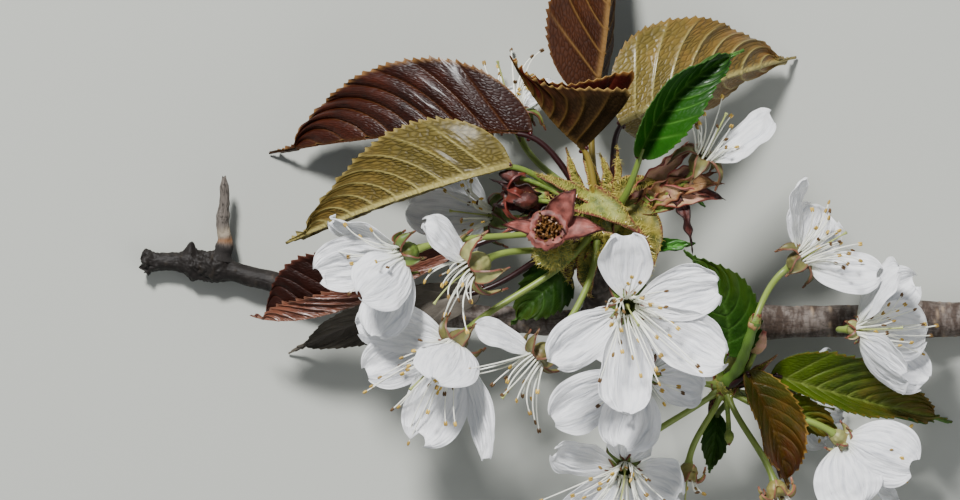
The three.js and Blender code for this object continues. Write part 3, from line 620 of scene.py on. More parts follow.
def bud_head(middle, radius, count, seed, hairs):
    """A round head: a lumpy ball, and scales that overlap on it like tiles, each a golden angle on from the
    last, from low on the head to near its top."""
    points, ways = lumpy_ball(middle, radius * 0.94, lumps=0.14, wavelength=2.0, seed=seed)
    skins = [closed(points, rim=0.3)]
    fuzz = [down(*over(points, ways, hairs, seed), length=1.0, seed=seed + 1, finish=HAIR)]
    leaning = np.array([0, 0.35, 1])
    for k in range(count):
        height = -0.55 + 1.35 * k / count
        angle = k * GOLDEN_ANGLE
        level = math.sqrt(1 - height ** 2)
        out = np.array([level * math.cos(angle), level * math.sin(angle), height])
        rise = unit(leaning - out * (out @ leaning))
        root = middle + out * radius * 0.92 - rise * 1.1
        bend = middle + out * radius * 1.12 + rise * 0.6
        tip = middle + out * radius * 1.02 + rise * (1.9 + 0.5 * math.sin(k * 5.1))
        skin = bud_scale(root, bend, tip, radius * 0.42, out, rows=14, columns=11, crumple=0.06,
                         seed=seed + k, curl=-42)
        skins.append(skin)
        places = over(*skin["upper"], hairs // 12, seed + k)
        fuzz.append(down(*places, length=0.9, seed=seed + k, finish=HAIR))
    return skins + fuzz


seat, way = branch_seat(20, (0, 0.45, 0.9))
spur_line = stalk_line(seat, way, HEAD, unit((0, 0.85, 0.5)), STEM_ROWS)
share = np.linspace(0, 1, STEM_ROWS)
spur_width = SPUR_RADIUS * (1 + 0.4 * share + 0.12 * np.cos(share * 40)) + swell_at(share, [(0, 0.9, 0.07)])
outward = round_about(spur_line, 40)
stem = spur_line[:, None] + outward * spur_width[:, None, None]
stem_lumps = rough(stem, 1.4, 31)
stem = stem + outward * (0.12 * stem_lumps)[..., None]
spur_stem = closed(stem, pore=0.0, crack=np.clip(0.6 + stem_lumps, 0, 1), dark=0.35)
grow("central_spur_stem", [spur_stem], [bark], "bark", "central_spur")


def downy(name, deep, bright, rim, root_tone):
    """Bud scale skin: patches of two greens or golds 2 mm wide, hair roots 0.25 mm apart, and a rim of its
    own colour. It is soft and living, and dull under its down."""
    finish = new_finish(name, Roughness=0.6)
    tree = finish.node_tree
    where = add_node(tree, "TexCoord", {}, "Object")
    rim_mark = add_node(tree, "Attribute", {}, "Fac", attribute_name="rim")
    patch = add_node(tree, "TexNoise", {"Vector": where, "Scale": 520, "Detail": 4})
    roots = add_node(tree, "TexVoronoi", {"Vector": where, "Scale": 4200})
    uneven = add_node(tree, "Math", {0: rim_mark, 1: patch}, operation="ADD")
    tone = coated(tree, deep, (patch, 0.4, 0.6, 0, 1, bright), (roots, 0, 0.5, 0.4, 0, root_tone),
                  (uneven, 0.85, 1.35, 0, 1, rim))
    dress(finish, tone, (roots, 0.25, 0.0002))
    return finish


scale_green = downy("downy_green_scale", "#525e1c", "#8c903e", "#7a4034", "#9ca058")
scale_gold = downy("downy_gold_scale", "#4c5014", "#7e7426", "#6a3a24", "#948640")
scale_red = downy("dark_red_bract", "#34100c", "#5a261c", "#240c0a", "#6a3a28")
# Each hair is clear and catches the light along its whole length, so that the down glistens gold.
hair = new_finish("golden_down", Base_Color="#c6b85c", Roughness=0.25, Specular_IOR_Level=0.8)
HEAD_FINISHES = (scale_green, hair, scale_gold, scale_red)

head_skins = bud_head(HEAD, HEAD_RADIUS, count=15, seed=40, hairs=420)
for k, (middle, radius) in enumerate(LOBES):
    head_skins += bud_head(np.array(middle), radius, count=8, seed=45 + k, hairs=600)
for k, (root, bend, tip, half_width, face, finish) in enumerate(HEAD_SCALES):
    skin = bud_scale(root, bend, tip, half_width, face, seed=60 + k, finish=finish)
    at, up = skin["upper"]
    head_skins.append(skin)
    # A red scale is nearly bare, and each scale has longer hairs on both of its edges.
    hairs = 60 if finish == RED else 190
    head_skins.append(down(*over(at, up, hairs, 70 + k), length=1.0, seed=80 + k, finish=HAIR))
    fringe = over(at[:, [0, -1]], up[:, [0, -1]], 150, 75 + k)
    head_skins.append(down(*fringe, length=1.3, seed=85 + k, finish=HAIR))
grow("central_head", head_skins, HEAD_FINISHES, "bud_scale")

seat, way = branch_seat(44.8, (0, -0.35, 0.9))
shoot_line = stalk_line(seat, way, KNOT, unit((-0.3, -0.9, 0.3)), SHOOT_ROWS)
share = np.linspace(0, 1, SHOOT_ROWS)
shoot_width = SHOOT_RADIUS * (1 + 0.1 * share) + swell_at(share, [(0, 0.8, 0.08), (0.4, 0.15, 0.03)])
knot_skins = [tube(shoot_line, shoot_width, 28, rim=0.1)]
knot_skins += bud_head(KNOT, KNOT_RADIUS, count=9, seed=90, hairs=160)
for k, (root, bend, tip, half_width, face, finish) in enumerate(KNOT_SCALES):
    skin = bud_scale(root, bend, tip, half_width, face, seed=95 + k, finish=finish)
    knot_skins.append(skin)
    knot_skins.append(down(*over(*skin["upper"], 60, 97 + k), length=0.6, seed=99 + k, finish=HAIR))
grow("right_head", knot_skins, HEAD_FINISHES, "bud_scale", "right_spur")


# Leaves
# Young cherry leaves, folded and pleated between their side veins as they came out of the bud, with toothed
# edges and drip tips. The upper side is glossy, the lower one dull with raised pale veins. They colour from
# dark red through bronze and olive to green as they age.

LEAF_THICKNESS = 0.26
PETIOLE_RADIUS = 0.65
PETIOLE_ROWS = 34
TOOTH_PITCH = 1.55
TOOTH_BACK = 0.78  # the share of a tooth that its long back takes, before its short front
ROWS_BY_VEIN = 25
MIDRIB_RADIUS = 0.5
MIDRIB_SPREAD = 0.45
VEIN_HEIGHT = 0.17
VEIN_SPREAD = 0.3
GLAND_RADIUS = 0.42
TOP, UNDER, STALK, GLAND = range(4)  # the finishes of a leaf
MAP_SPAN = np.array([40, 70])  # millimetres of leaf, across and along, that the surface map holds
LEAF_SIDES = {  # colours of body, tip, veins and rim, then roughness, blister, gloss, painted net shade, cell and line
    # The youngest leaves are rich in red pigment: nearly black brown above, with a satin gloss.
    # A pale gold rim colour is partly painted glint along the teeth.
    "red_leaf_top": ("#280e06", "#3c1608", "#4a2a12", "#8a6438", 0.42, 0.45, 0.12, 0.4, 0.55, 0.2),
    "red_leaf_under": ("#341c10", "#48261a", "#6c5230", "#5c3c24", 0.5, 0.5),
    # Older ones show olive through the red, and their lower side is khaki with pale raised veins.
    "olive_leaf_top": ("#2a2c0e", "#463616", "#5c5c2a", "#4c441c", 0.42, 0.4, 0.15),
    "olive_leaf_under": ("#605426", "#5e4a20", "#a2965a", "#948248", 0.48, 1.0, 0.06, 0.75, 0.7, 0.26),
    "gold_leaf_under": ("#70602a", "#6e4c20", "#a09458", "#7e6230", 0.42, 0.8, 0.2, 0.5, 0.8),
    "bronze_leaf_top": ("#2a1410", "#3e2014", "#5c4428", "#5c3e20", 0.42, 0.4, 0.1),
    "bronze_leaf_under": ("#381c0c", "#3e200a", "#765830", "#5c3c1c", 0.6, 0.5, 0.0, 0.6, 0.6, 0.24),
    "brown_leaf_top": ("#380e08", "#401208", "#5a2414", "#a07038", 0.5, 0.2, 0.05, 0.2, 0.5),
    "brown_leaf_under": ("#2e2010", "#421e10", "#4c3818", "#a88850", 0.6, 0.4, 0.0, 0.5, 0.55, 0.24),
    "pink_edged_leaf_top": ("#1e0a04", "#280e08", "#34180e", "#5c3428", 0.5, 0.3, 0.05, 0.1),
    "pink_leaf_under": ("#64382a", "#6a3e2c", "#7a5444", "#845c48", 0.36, 0.6, 0.15, 0.2),
    "grey_leaf_top": ("#58524a", "#5c564c", "#68625a", "#5a544a", 0.55, 0.2, 0.0, 0.15),
    # The first to open are plain green, deep and glossy above.
    "green_leaf_top": ("#1c4c08", "#102e06", "#48762a", "#34641a", 0.42, 0.3, 0.12, 0.1),
    "green_leaf_under": ("#2c481c", "#284018", "#5c7c40", "#3c5c28", 0.5, 0.4),
    "turning_leaf_top": ("#3e500a", "#543e12", "#606c2c", "#745824", 0.5, 0.35, 0.05, 0.2),
    "hanging_leaf_top": ("#40400c", "#5e2408", "#5e4618", "#a8843c", 0.42, 0.4, 0.12, 0.2),
    "dark_green_leaf_top": ("#1e3e0a", "#2c3c0c", "#34521c", "#34421a", 0.5, 0.3, 0.03, 0.1),
    "bright_green_bract": ("#285e12", "#3c7826", "#508a38", "#34701c", 0.34, 0.3, 0.2, 0.1),
}


def on_ball(middle, radius, way):
    """A seat on a round head, a gap clear of it, with the way out of it."""
    way = unit(way)
    return middle + way * (radius + GAP), way


def on_head(*way):
    """A seat on the central spur's head."""
    return on_ball(HEAD, HEAD_RADIUS, way)


def on_knot(*way):
    """A seat on the right spur's head."""
    return on_ball(KNOT, KNOT_RADIUS, way)


def leaf_side(name, body, tip, vein, rim, roughness, blister, gloss=0.0, net=0.3, cell=0.6, line=0.14):
    """One side of a leaf. Its colour runs from body to tip over mottling 4 mm wide. A net of lines, darker
    than the blade as painted shade in the grooves between raised cells, lies between the side veins, in
    cells one size across and half as much again along; its lines take a share of a cell. The rim has a
    colour of its own, partly painted glint along the teeth where it is pale gold. Blister is how far the
    cells stand up."""
    finish = new_finish(name, Roughness=roughness, Coat_Weight=gloss, Coat_Roughness=0.2,
                        Specular_IOR_Level=0.08 + gloss)
    tree = finish.node_tree
    where = add_node(tree, "TexCoord", {}, "Object")
    on_leaf = add_node(tree, "UVMap", {}, uv_map="surface")
    vein_mark, rim_and_glint_mark, along_mark = (add_node(tree, "Attribute", {}, "Fac", attribute_name=mark)
                                        for mark in ("vein", "edge", "along"))
    mottle = add_node(tree, "TexNoise", {"Vector": where, "Scale": 260, "Detail": 4})
    span = (*(MAP_SPAN / cell / (1, 1.5)).tolist(), 1)
    spread = add_node(tree, "Mapping", {"Vector": on_leaf, "Scale": span})
    cells = add_node(tree, "TexVoronoi", {"Vector": spread, "Scale": 1}, feature="DISTANCE_TO_EDGE",
                     voronoi_dimensions="2D")
    further = add_node(tree, "Math", {0: mottle, 1: along_mark}, operation="ADD")
    tone = coated(tree, body, (further, 0.8, 1.5, 0, 1, tip))
    dim = add_node(tree, "MapRange", {0: mottle, 1: 0.3, 2: 0.7, 3: 0.7, 4: 1.25})
    tone = add_node(tree, "HueSaturation", {"Color": tone, "Value": dim})
    # Painted shade: the net's lines are darkened to four tenths of the tone, as shaded grooves between
    # raised cells. A pale gold rim colour is partly painted glint along the teeth.
    groove_shade = add_node(tree, "HueSaturation", {"Color": tone, "Value": 0.4})
    tone = coated(tree, tone, (cells, 0, line, net, 0, groove_shade), (vein_mark, 0, 1, 0, 1, vein),
                  (rim_and_glint_mark, 0, 1, 0, 0.8, rim))
    dress(finish, tone, (add_node(tree, "MapRange", {0: cells, 1: 0, 2: 0.3}), blister, 0.00012))
    return finish


leaf_finish = {name: leaf_side(name, *look) for name, look in LEAF_SIDES.items()}
# Leaf stalks are smooth and grooved, and take the blade's colour or stay green; their glands are dark red.
for name, tone, roughness in (("red_leaf_stalk", "#260a0a", 0.3), ("green_leaf_stalk", "#64782c", 0.4),
                              ("gold_leaf_stalk", "#7c6a26", 0.4), ("red_gland", "#3a0a0c", 0.2)):
    leaf_finish[name] = new_finish(name, Base_Color=tone, Roughness=roughness)


def swept(s, far, sweep):
    """How far along the leaf a point on the side vein that leaves the midrib at s has moved on, at the share
    `far` of the way to the edge: the sweep times 2.88 s^0.6 (1 - s) times far^1.3."""
    return sweep * 2.88 * s ** 0.6 * (1 - s) * far ** 1.3


def leaf(name, slot, finishes, seat, base, bend, tip, half_width, face, fold=30, cup=15, veins=9, pleat=0.5,
         wave=0.4, tooth=0.6, columns=37, lean=0.8, full=0.65, sweep=0.3, glands=True, seed=0):
    """A leaf. Its rows follow the side veins. Between two veins the blade swells by the sine of the way from
    one to the next. Its width along it is 0.06 - 0.045 u + 0.95 sin(pi (u / 0.9)^lean)^full, an oval that
    ends in a drip tip. The edge steps out in saw teeth that lean forward, up to the drip tip. The stalk runs
    into the base of the blade. Its half width and its fold may differ from side to side."""
    base, bend, tip = (np.array(point, float) for point in (base, bend, tip))
    rows = veins * ROWS_BY_VEIN + 1
    even = np.linspace(0, 1, 600)
    s = np.interp(np.linspace(0, 1, rows), even + swept(even, 1, sweep) / 2, even)
    x = np.linspace(-1, 1, columns)
    s, a = np.meshgrid(s, x - 0.6 / (2 * np.pi) * np.sin(2 * np.pi * x), indexing="ij")
    far = np.abs(a)
    u = s + swept(s, far, sweep)

    def outline(along):
        oval = np.sin(np.pi * np.minimum(1, along / 0.9) ** lean).clip(0)
        return 0.06 - 0.045 * along + 0.95 * oval ** full

    point, up, out = sheet([base, bend, tip], face, half_width, outline, a, u, fold, cup)
    width = np.where(a < 0, *np.broadcast_to(half_width, 2)) * outline(u)
    long = np.linalg.norm(bend - base) + np.linalg.norm(tip - bend)
    # Pleats between the side veins, slow waves of the edge and a fine unevenness lift the blade.
    from_vein = np.abs(s * veins - np.round(s * veins))
    body = np.sin(np.pi * s).clip(0) ** 0.5
    swell = (np.sin(np.pi * from_vein) ** 0.8 - 0.55) * body * far ** 0.5 * (1 - 0.3 * far ** 4)
    draw = np.random.default_rng(seed)
    turn = draw.uniform(0, 2 * np.pi, 2)
    waves = np.sin(2 * np.pi * s * draw.uniform(2.0, 3.2) + np.where(a < 0, turn[0], turn[1]))
    lift = pleat * np.mean(half_width) / 12 * swell + wave * far ** 2 * waves * body
    lift = lift + 0.05 * rough(point, 1.3, seed + 1) * body
    # Teeth are spaced by the length that has passed along each edge.
    edges = point[:, [0, -1]]
    passed = np.linalg.norm(np.diff(edges, axis=0, prepend=edges[:1]), axis=-1).cumsum(0)
    edge_place = np.where(a < 0, passed[:, :1], passed[:, 1:]) / TOOTH_PITCH
    part_way = edge_place % 1
    size_of_tooth = 0.8 + 0.2 * np.sin(np.floor(edge_place) * 2.3 + np.sign(a))
    back = (part_way / TOOTH_BACK) ** 1.3
    saw = np.where(part_way < TOOTH_BACK, back, (1 - part_way) / (1 - TOOTH_BACK)) * size_of_tooth
    saw = saw * np.clip((far - 0.9) / 0.1, 0, 1) * np.clip(s * 14, 0, 1) * np.clip((0.93 - s) * 7, 0, 1)
    run = unit(np.gradient(point, axis=0))
    reach = (tooth * saw)[..., None]
    point = point + out * reach + run * 0.45 * reach + up * lift[..., None]
    # The midrib and the side veins stand out below and are let in above.
    from_midrib = far * width
    rib = MIDRIB_RADIUS * (1 - 0.75 * u) * np.exp(-(from_midrib / MIDRIB_SPREAD) ** 2)
    off_vein = from_vein / veins * long
    to_edge = 1 - far ** 3
    side_rib = VEIN_HEIGHT * np.exp(-(off_vein / VEIN_SPREAD) ** 2) * to_edge * body
    half = LEAF_THICKNESS / 2 * (1 - 0.4 * far ** 6)
    top = point + up * (half - 0.5 * side_rib - 0.3 * rib)[..., None]
    bottom = point - up * (half + rib + side_rib)[..., None]
    vein = np.maximum(np.exp(-(from_midrib / 0.5) ** 2), 0.9 * np.exp(-(off_vein / 0.27) ** 2) * to_edge)
    flat = np.stack([a * width, s * long - long / 2], -1) / MAP_SPAN + 0.5
    skins = [both_sides(top, bottom, flat, (TOP, UNDER), vein=vein * body ** 0.3,
                        edge=np.clip((far - 0.95) / 0.05, 0, 1), along=u)]
    line = stalk_line(*seat, bezier([base, bend, tip], 0.06), unit(bend - base), PETIOLE_ROWS)
    share = np.linspace(0, 1, PETIOLE_ROWS)
    thick = PETIOLE_RADIUS * (1 - 0.3 * share) + swell_at(share, [(0, 0.35, 0.07)])
    skins.append(tube(line, thick, 16, STALK, along=share))
    for way_round in (-1, 1) if glands else ():
        at = line[-5] + way_round * np.cross(unit(line[-4] - line[-5]), unit(np.atleast_2d(face)[0])) * 0.55
        skins.append(closed(ball(at, GLAND_RADIUS, rows=10, columns=12)[0], finish=GLAND))
    grow(name + "_blade", skins, [leaf_finish[key] for key in (*finishes, "red_gland")], slot, name)


leaf("leaf_dark_red_left", "leaf_red", ("red_leaf_top", "red_leaf_under", "red_leaf_stalk"),
     on_head(-0.55, 0.75, 0.05), (8.8, 19.3, 24), (-12, 20.4, 24), (-35.5, 16.2, 0.7), (8, 12.8),
     (0, -0.5, 0.87), fold=(-100, -30), cup=-10, veins=11, pleat=1.2, wave=0.5, tooth=0.7, columns=45,
     lean=0.95, full=0.62, sweep=0.34, seed=101)
leaf("leaf_olive_left", "leaf_olive", ("olive_leaf_top", "olive_leaf_under", "green_leaf_stalk"),
     on_head(-0.8, 0.5, 0.35), (5.3, 14.3, 29), (-14, 9.5, 31), (-32.5, 1.2, 12), 11.5, (0.2, 0.7, -0.7),
     fold=47, veins=10, pleat=0.65, tooth=0.9, columns=45, sweep=0.34, seed=103)
leaf("leaf_bronze_upright", "leaf_bronze", ("bronze_leaf_top", "bronze_leaf_under", "gold_leaf_stalk"),
     on_head(-0.12, 0.92, -0.35), (19, 25, 20), (23, 42, 20), (21.7, 63.3, 1.0), 10, (-0.65, 0, -0.76),
     fold=34, pleat=0.9, sweep=0.42, seed=105)
# This one is seen from below, folded shut: the half behind shows its red upper side past the front one.
leaf("leaf_brown_small", "leaf_bronze", ("brown_leaf_top", "brown_leaf_under", "gold_leaf_stalk"),
     on_head(-0.15, 0.75, 0.6), (17.3, 17.0, 28), (10.5, 21.5, 34), (4.9, 32.2, 38), (12.8, 15),
     (-0.06, 0.58, -0.81), fold=(0, 160), cup=8, pleat=0.7, wave=0.6, tooth=1.0, columns=45, lean=0.42,
     full=1.5, seed=107)
leaf("leaf_golden_upper_right", "leaf_olive", ("olive_leaf_top", "gold_leaf_under", "red_leaf_stalk"),
     on_head(0.35, 0.93, -0.1), (23.3, 21.2, 24), (37, 28.5, 24), (53.2, 32.5, 0.7), 12.6,
     (-0.2, 0.4, -0.9), fold=26, veins=10, wave=0.6, tooth=0.65, columns=45, seed=109)
leaf("leaf_green_folded", "leaf_green", ("green_leaf_top", "green_leaf_under", "green_leaf_stalk"),
     on_head(0.55, 0.4, 0.75), (26.6, 15.5, 32), (31, 28, 37), (44, 33.3, 32), 6.4, (0.25, -0.15, 1),
     fold=44, wave=0.35, seed=111)
leaf("leaf_dark_red_behind", "leaf_red", ("pink_edged_leaf_top", "pink_leaf_under", "red_leaf_stalk"),
     on_head(-0.95, -0.1, -0.2), (-3, 0, 21), (-27.5, -15, 21), (-38.5, -11, 12), (3.8, 10.5),
     (0.1, 0.1, 1), fold=(145, 12), cup=10, veins=10, pleat=0.45, tooth=0.7, columns=45, lean=1.4, full=0.5,
     seed=113)
leaf("leaf_grey_below", "leaf_red", ("grey_leaf_top", "grey_leaf_top", "red_leaf_stalk"),
     on_head(-0.75, -0.4, -0.5), (0, -7, 17), (-18, -10, 15), (-32.3, -17.5, 0.7), 4.6, (0, -0.3, 1),
     fold=20, wave=0.3, tooth=0.25, columns=25, seed=115)
leaf("leaf_green_lower_right", "leaf_green", ("turning_leaf_top", "green_leaf_under", "red_leaf_stalk"),
     on_knot(0.97, 0.1, 0.1), (48.7, -20.8, 19), (64, -25.4, 19), (79.7, -29, 0.7), (7.2, 3.4), (0, 0.1, 1),
     fold=(20, 35), veins=12, pleat=1.1, wave=0.5, seed=117)
leaf("leaf_olive_hanging", "leaf_olive", ("hanging_leaf_top", "red_leaf_under", "red_leaf_stalk"),
     on_knot(0.45, 0.1, 0.9), (44.5, -20.4, 22), (49.5, -28, 24), (51.8, -40.4, 14), (5.6, 4.4),
     (0.2, 0.1, 1), fold=(20, 35), wave=0.5, lean=1.1, full=0.55, seed=119)
leaf("leaf_small_right", "leaf_green", ("turning_leaf_top", "green_leaf_under", "green_leaf_stalk"),
     on_knot(0.85, -0.5, 0), (49, -26.0, 17), (55, -27, 18), (60.7, -31.6, 15), 3.6, (0, 0, 1), veins=7,
     pleat=0.8, wave=0.2, tooth=0.5, columns=21, glands=False, seed=121)
leaf("leaf_green_behind_main", "leaf_green", ("dark_green_leaf_top", "green_leaf_under", "green_leaf_stalk"),
     on_knot(-0.25, 0.75, 0.6), (41, -17.5, 23), (43.5, -9, 27), (34, 0, 29), 6, (0, 0, 1), fold=15,
     veins=8, seed=123)
leaf("leaf_green_shaded", "leaf_green", ("dark_green_leaf_top", "green_leaf_under", "green_leaf_stalk"),
     on_head(-0.8, -0.6, -0.25), (15, -3.5, 16.5), (11, -6, 16), (5.2, -12.6, 14), 4.6, (0, 0, 1), fold=12,
     veins=6, wave=0.5, tooth=0.7, columns=25, glands=False, seed=125)
leaf("leaf_dark_low", "leaf_green", ("dark_green_leaf_top", "green_leaf_under", "green_leaf_stalk"),
     on_knot(0.3, -0.7, -0.65), (39.8, -27.5, 15), (39.5, -32, 14), (38.5, -37.5, 11), 2.6, (0, 0, 1),
     veins=6, wave=0.2, tooth=0.4, columns=21, glands=False, seed=127)
leaf("leaf_narrow_arching", "leaf_green", ("bright_green_bract", "green_leaf_under", "green_leaf_stalk"),
     on_head(0.93, 0.05, -0.3), (27.2, 8.4, 21.6), (32.3, 12.6, 22), (37.7, 7.2, 21), 1.4, (0, 0, 1),
     veins=5, pleat=0.3, wave=0.2, tooth=0.15, columns=17, glands=False, seed=129)
leaf("leaf_blade_right", "leaf_green", ("bright_green_bract", "green_leaf_under", "green_leaf_stalk"),
     on_head(0.85, -0.45, 0.0), (27.6, 1.0, 24), (31, 0.2, 25), (36, 1.2, 24.6), 1.5, (0, 0.3, 1), veins=5,
     pleat=0.3, wave=0.2, tooth=0.15, columns=17, glands=False, seed=131)


# Blooms
# Single white bloom, each on its own thin stalk: a cup with five sepals, up to five petals, and two dozen
# stamens in a ring round one pistil. Petals have a narrow claw and a broad, slightly crumpled blade.

PEDICEL_RADIUS = 0.5
PEDICEL_ROWS = 44
CUP_RADIUS = 1.9
CUP_DEPTH = 3.4
SEPAL_LENGTH = 4.6
SEPAL_HALF_WIDTH = 1.25
RIM_SHARE = 0.75  # a petal's claw stands at this share of the cup's radius
PETAL_THICKNESS = 0.15
PETAL_ROWS = 42
PETAL_COLUMNS = 61
FILAMENT_RADIUS = 0.14
ANTHER_LENGTH = 0.45  # half of it, as its half width is
ANTHER_WIDTH = 0.2
CUP_PROFILE = [  # radius and height of the cup's wall, outside from its foot to its rim and then inside
    (0.32, 0.0),
    (0.62, 0.1),
    (0.86, 0.3),
    (0.98, 0.55),
    (0.93, 0.8),
    (1.0, 0.97),
    (0.97, 1.0),
    (0.88, 0.97),
    (0.78, 0.8),
    (0.72, 0.6),
    (0.5, 0.4),
    (0.1, 0.34),
]
CUP_ROWS = 44
CUP_SIDES = 40
FILAMENT_ROWS = 12
STYLE_ROWS = 14
FILAMENT, ANTHER, STYLE = range(3)  # the finishes of the stamens and the pistil
CALYX, PEDICEL, STUB, DOWN, FRUIT = range(5)  # the finishes of a calyx, the last three only on the front one
INNER_ROW = 25  # from this row of the cup on, its wall is the inside one


def axis_ways(axis, angle):
    """The ways square to an axis at some angles round it: the cosine times one of them plus the sine times
    the other."""
    guide = np.array([0.0, 1.0, 0.0]) if abs(axis[1]) < 0.9 else np.array([1.0, 0.0, 0.0])
    first = unit(guide - (guide @ axis) * axis)
    return np.multiply.outer(np.cos(angle), first) + np.multiply.outer(np.sin(angle), np.cross(axis, first))


def petal_outline(u):
    """A petal's width along it: 0.14 + 0.86 (1 - (1 - u / 0.6)^2.2) up to 0.6, times the root of
    1 - ((u - 0.55) / 0.452)^3 past 0.55, which rounds its end."""
    claw = 0.14 + 0.86 * (1 - (1 - np.minimum(1, u / 0.6)) ** 2.2)
    return claw * np.sqrt(1 - np.clip((u - 0.55) / 0.452, 0, 1) ** 3)


def petal(centre, axis, seed, tip, half_width, face=None):
    """A petal from the rim of the cup to its tip: a cupped sheet with a notch in its end, a few soft folds
    and many fine creases that fan out from the claw, warped by smooth unevenness, and a waved edge. `face`
    is the way that its inner side looks, or None for the way that the flower opens."""
    tip = np.array(tip, float)
    out = tip - centre
    long = np.linalg.norm(out)
    out = unit(out - (out @ axis) * axis)
    root = centre + out * CUP_RADIUS * RIM_SHARE - axis * 0.3
    bend = (root + tip) / 2 - axis * long * 0.1 + out * long * 0.06
    draw = np.random.default_rng(seed)
    x = np.linspace(-1, 1, PETAL_COLUMNS)
    along = np.sin(np.pi / 2 * np.linspace(0, 1, PETAL_ROWS))
    u, a = np.meshgrid(along, x + 0.25 * np.sin(np.pi * x) / np.pi, indexing="ij")
    beside = a * petal_outline(u)
    notch = draw.uniform(0.02, 0.12) * np.exp(-((beside - draw.uniform(-0.2, 0.2)) / 0.14) ** 2) * u ** 9
    scallop = 0.014 * np.cos(beside * draw.uniform(9, 15) + draw.uniform(0, 6)) * u ** 6
    at = (u * (1 - notch - scallop)).clip(0, 1)
    flatter = 1 if face is None else 0.35
    cup = draw.uniform(18, 40) * flatter
    inner = axis - 0.5 * out if face is None else np.array(face, float)
    edge_curl = draw.uniform(-50, 60, 2) * flatter
    point, up, _ = sheet([root, bend, tip], inner, half_width, petal_outline, a, at, cup=cup, curl=edge_curl)
    turn = draw.uniform(0, 2 * np.pi, 6)
    folds = 0.35 * np.sin(a * draw.uniform(3, 6) + turn[0]) * u ** 1.3
    flutter = 0.5 * np.abs(a) ** 3 * np.sin(u * draw.uniform(7, 12) + turn[1] + np.sign(a)) * u
    curl = draw.uniform(-1.0, 1.2) * np.clip((u - 0.72) / 0.28, 0, 1) ** 2
    groove = -0.5 * np.exp(-(a / 0.2) ** 2) * u * (1 - u) ** 0.6
    fan = a * (1 + 0.12 * np.sin(u * 5 + turn[2])) + 0.05 * rough(point, 3.5, seed + 2)
    crease = np.cos(fan * 17 + 0.9 * np.sin(u * 6 + turn[3]))
    crease = crease + 0.8 * np.cos(fan * 29 + 1.3 * np.sin(u * 5 + turn[4]))
    crease = crease + 0.6 * np.cos(fan * 41 + 1.6 * np.sin(u * 7 + turn[5]))
    deep = np.clip(u * 5, 0, 1) * np.clip((1.03 - u) * 3.2, 0, 1) * (1 - 0.6 * np.abs(a) ** 4)
    deep = deep * (0.75 + 0.4 * rough(point, 5, seed + 3))
    fine = draw.uniform(0.05, 0.1) * crease * deep
    lift = folds + flutter + curl + groove + fine + 0.12 * rough(point, 2.6, seed + 1) * u
    point = point + up * lift[..., None]
    half = up * (PETAL_THICKNESS / 2 * (1 - 0.45 * np.abs(a) ** 6))[..., None]
    # The vein mark follows the fine creases; its grey is partly painted shade in them.
    vein = np.clip(0.5 - 0.25 * crease, 0, 1) ** 2 * deep.clip(0, 1)
    return both_sides(point + half, point - half, np.stack([(a + 1) / 2, u], -1), vein=vein, along=u)


def sepals_round(foot, axis, radius, depth, length, reflex):
    """Root, bend, tip and face of five sepals. They stand on the rim at even angles, which turn with the
    shortest way from +Y to the axis, and bend back along the stalk by reflex."""
    turn_axis = np.cross([0, 1, 0], axis)
    placed = []
    for k in range(5):
        flat = np.array([math.sin(k * 0.4 * np.pi), 0, math.cos(k * 0.4 * np.pi)])
        turned = np.cross(turn_axis, flat)
        way = flat + turned + np.cross(turn_axis, turned) / (1 + axis[1])
        root = foot + way * radius * 0.93 + axis * depth * 0.93
        bend = foot + way * (radius + length * 0.55) + axis * depth * (1.02 - 0.1 * reflex)
        tip = foot + way * (radius + length * (1 - 0.5 * reflex)) + axis * (depth * 0.8 - length * reflex)
        placed.append((root, bend, tip, axis - way * 0.2))
    return placed


def cup_skin(foot, axis, radius, depth, seed, profile=CUP_PROFILE, lumps=0.05, inner_row=INNER_ROW):
    """The cup: its profile carried round the axis with ten faint ribs and a lumpy skin."""
    angle = np.linspace(0, 2 * np.pi, CUP_SIDES, endpoint=False)
    rings = evenly(np.array([(r * radius, h * depth, 0) for r, h in profile]), CUP_ROWS)
    ways = axis_ways(axis, angle)
    wide = rings[:, 0, None] * (1 + 0.03 * np.cos(angle * 10))
    points = foot + ways[None] * wide[..., None] + axis * rings[:, 1, None, None]
    points = points + ways[None] * (lumps * rough(points, 1.1, seed))[..., None]
    inside = (np.arange(CUP_ROWS) > inner_row)[:, None] * 1.0
    skin = closed(points, blush=(rings[:, 1] / depth * 0.55)[:, None], inside=inside)
    return skin, points, np.broadcast_to(ways, points.shape)


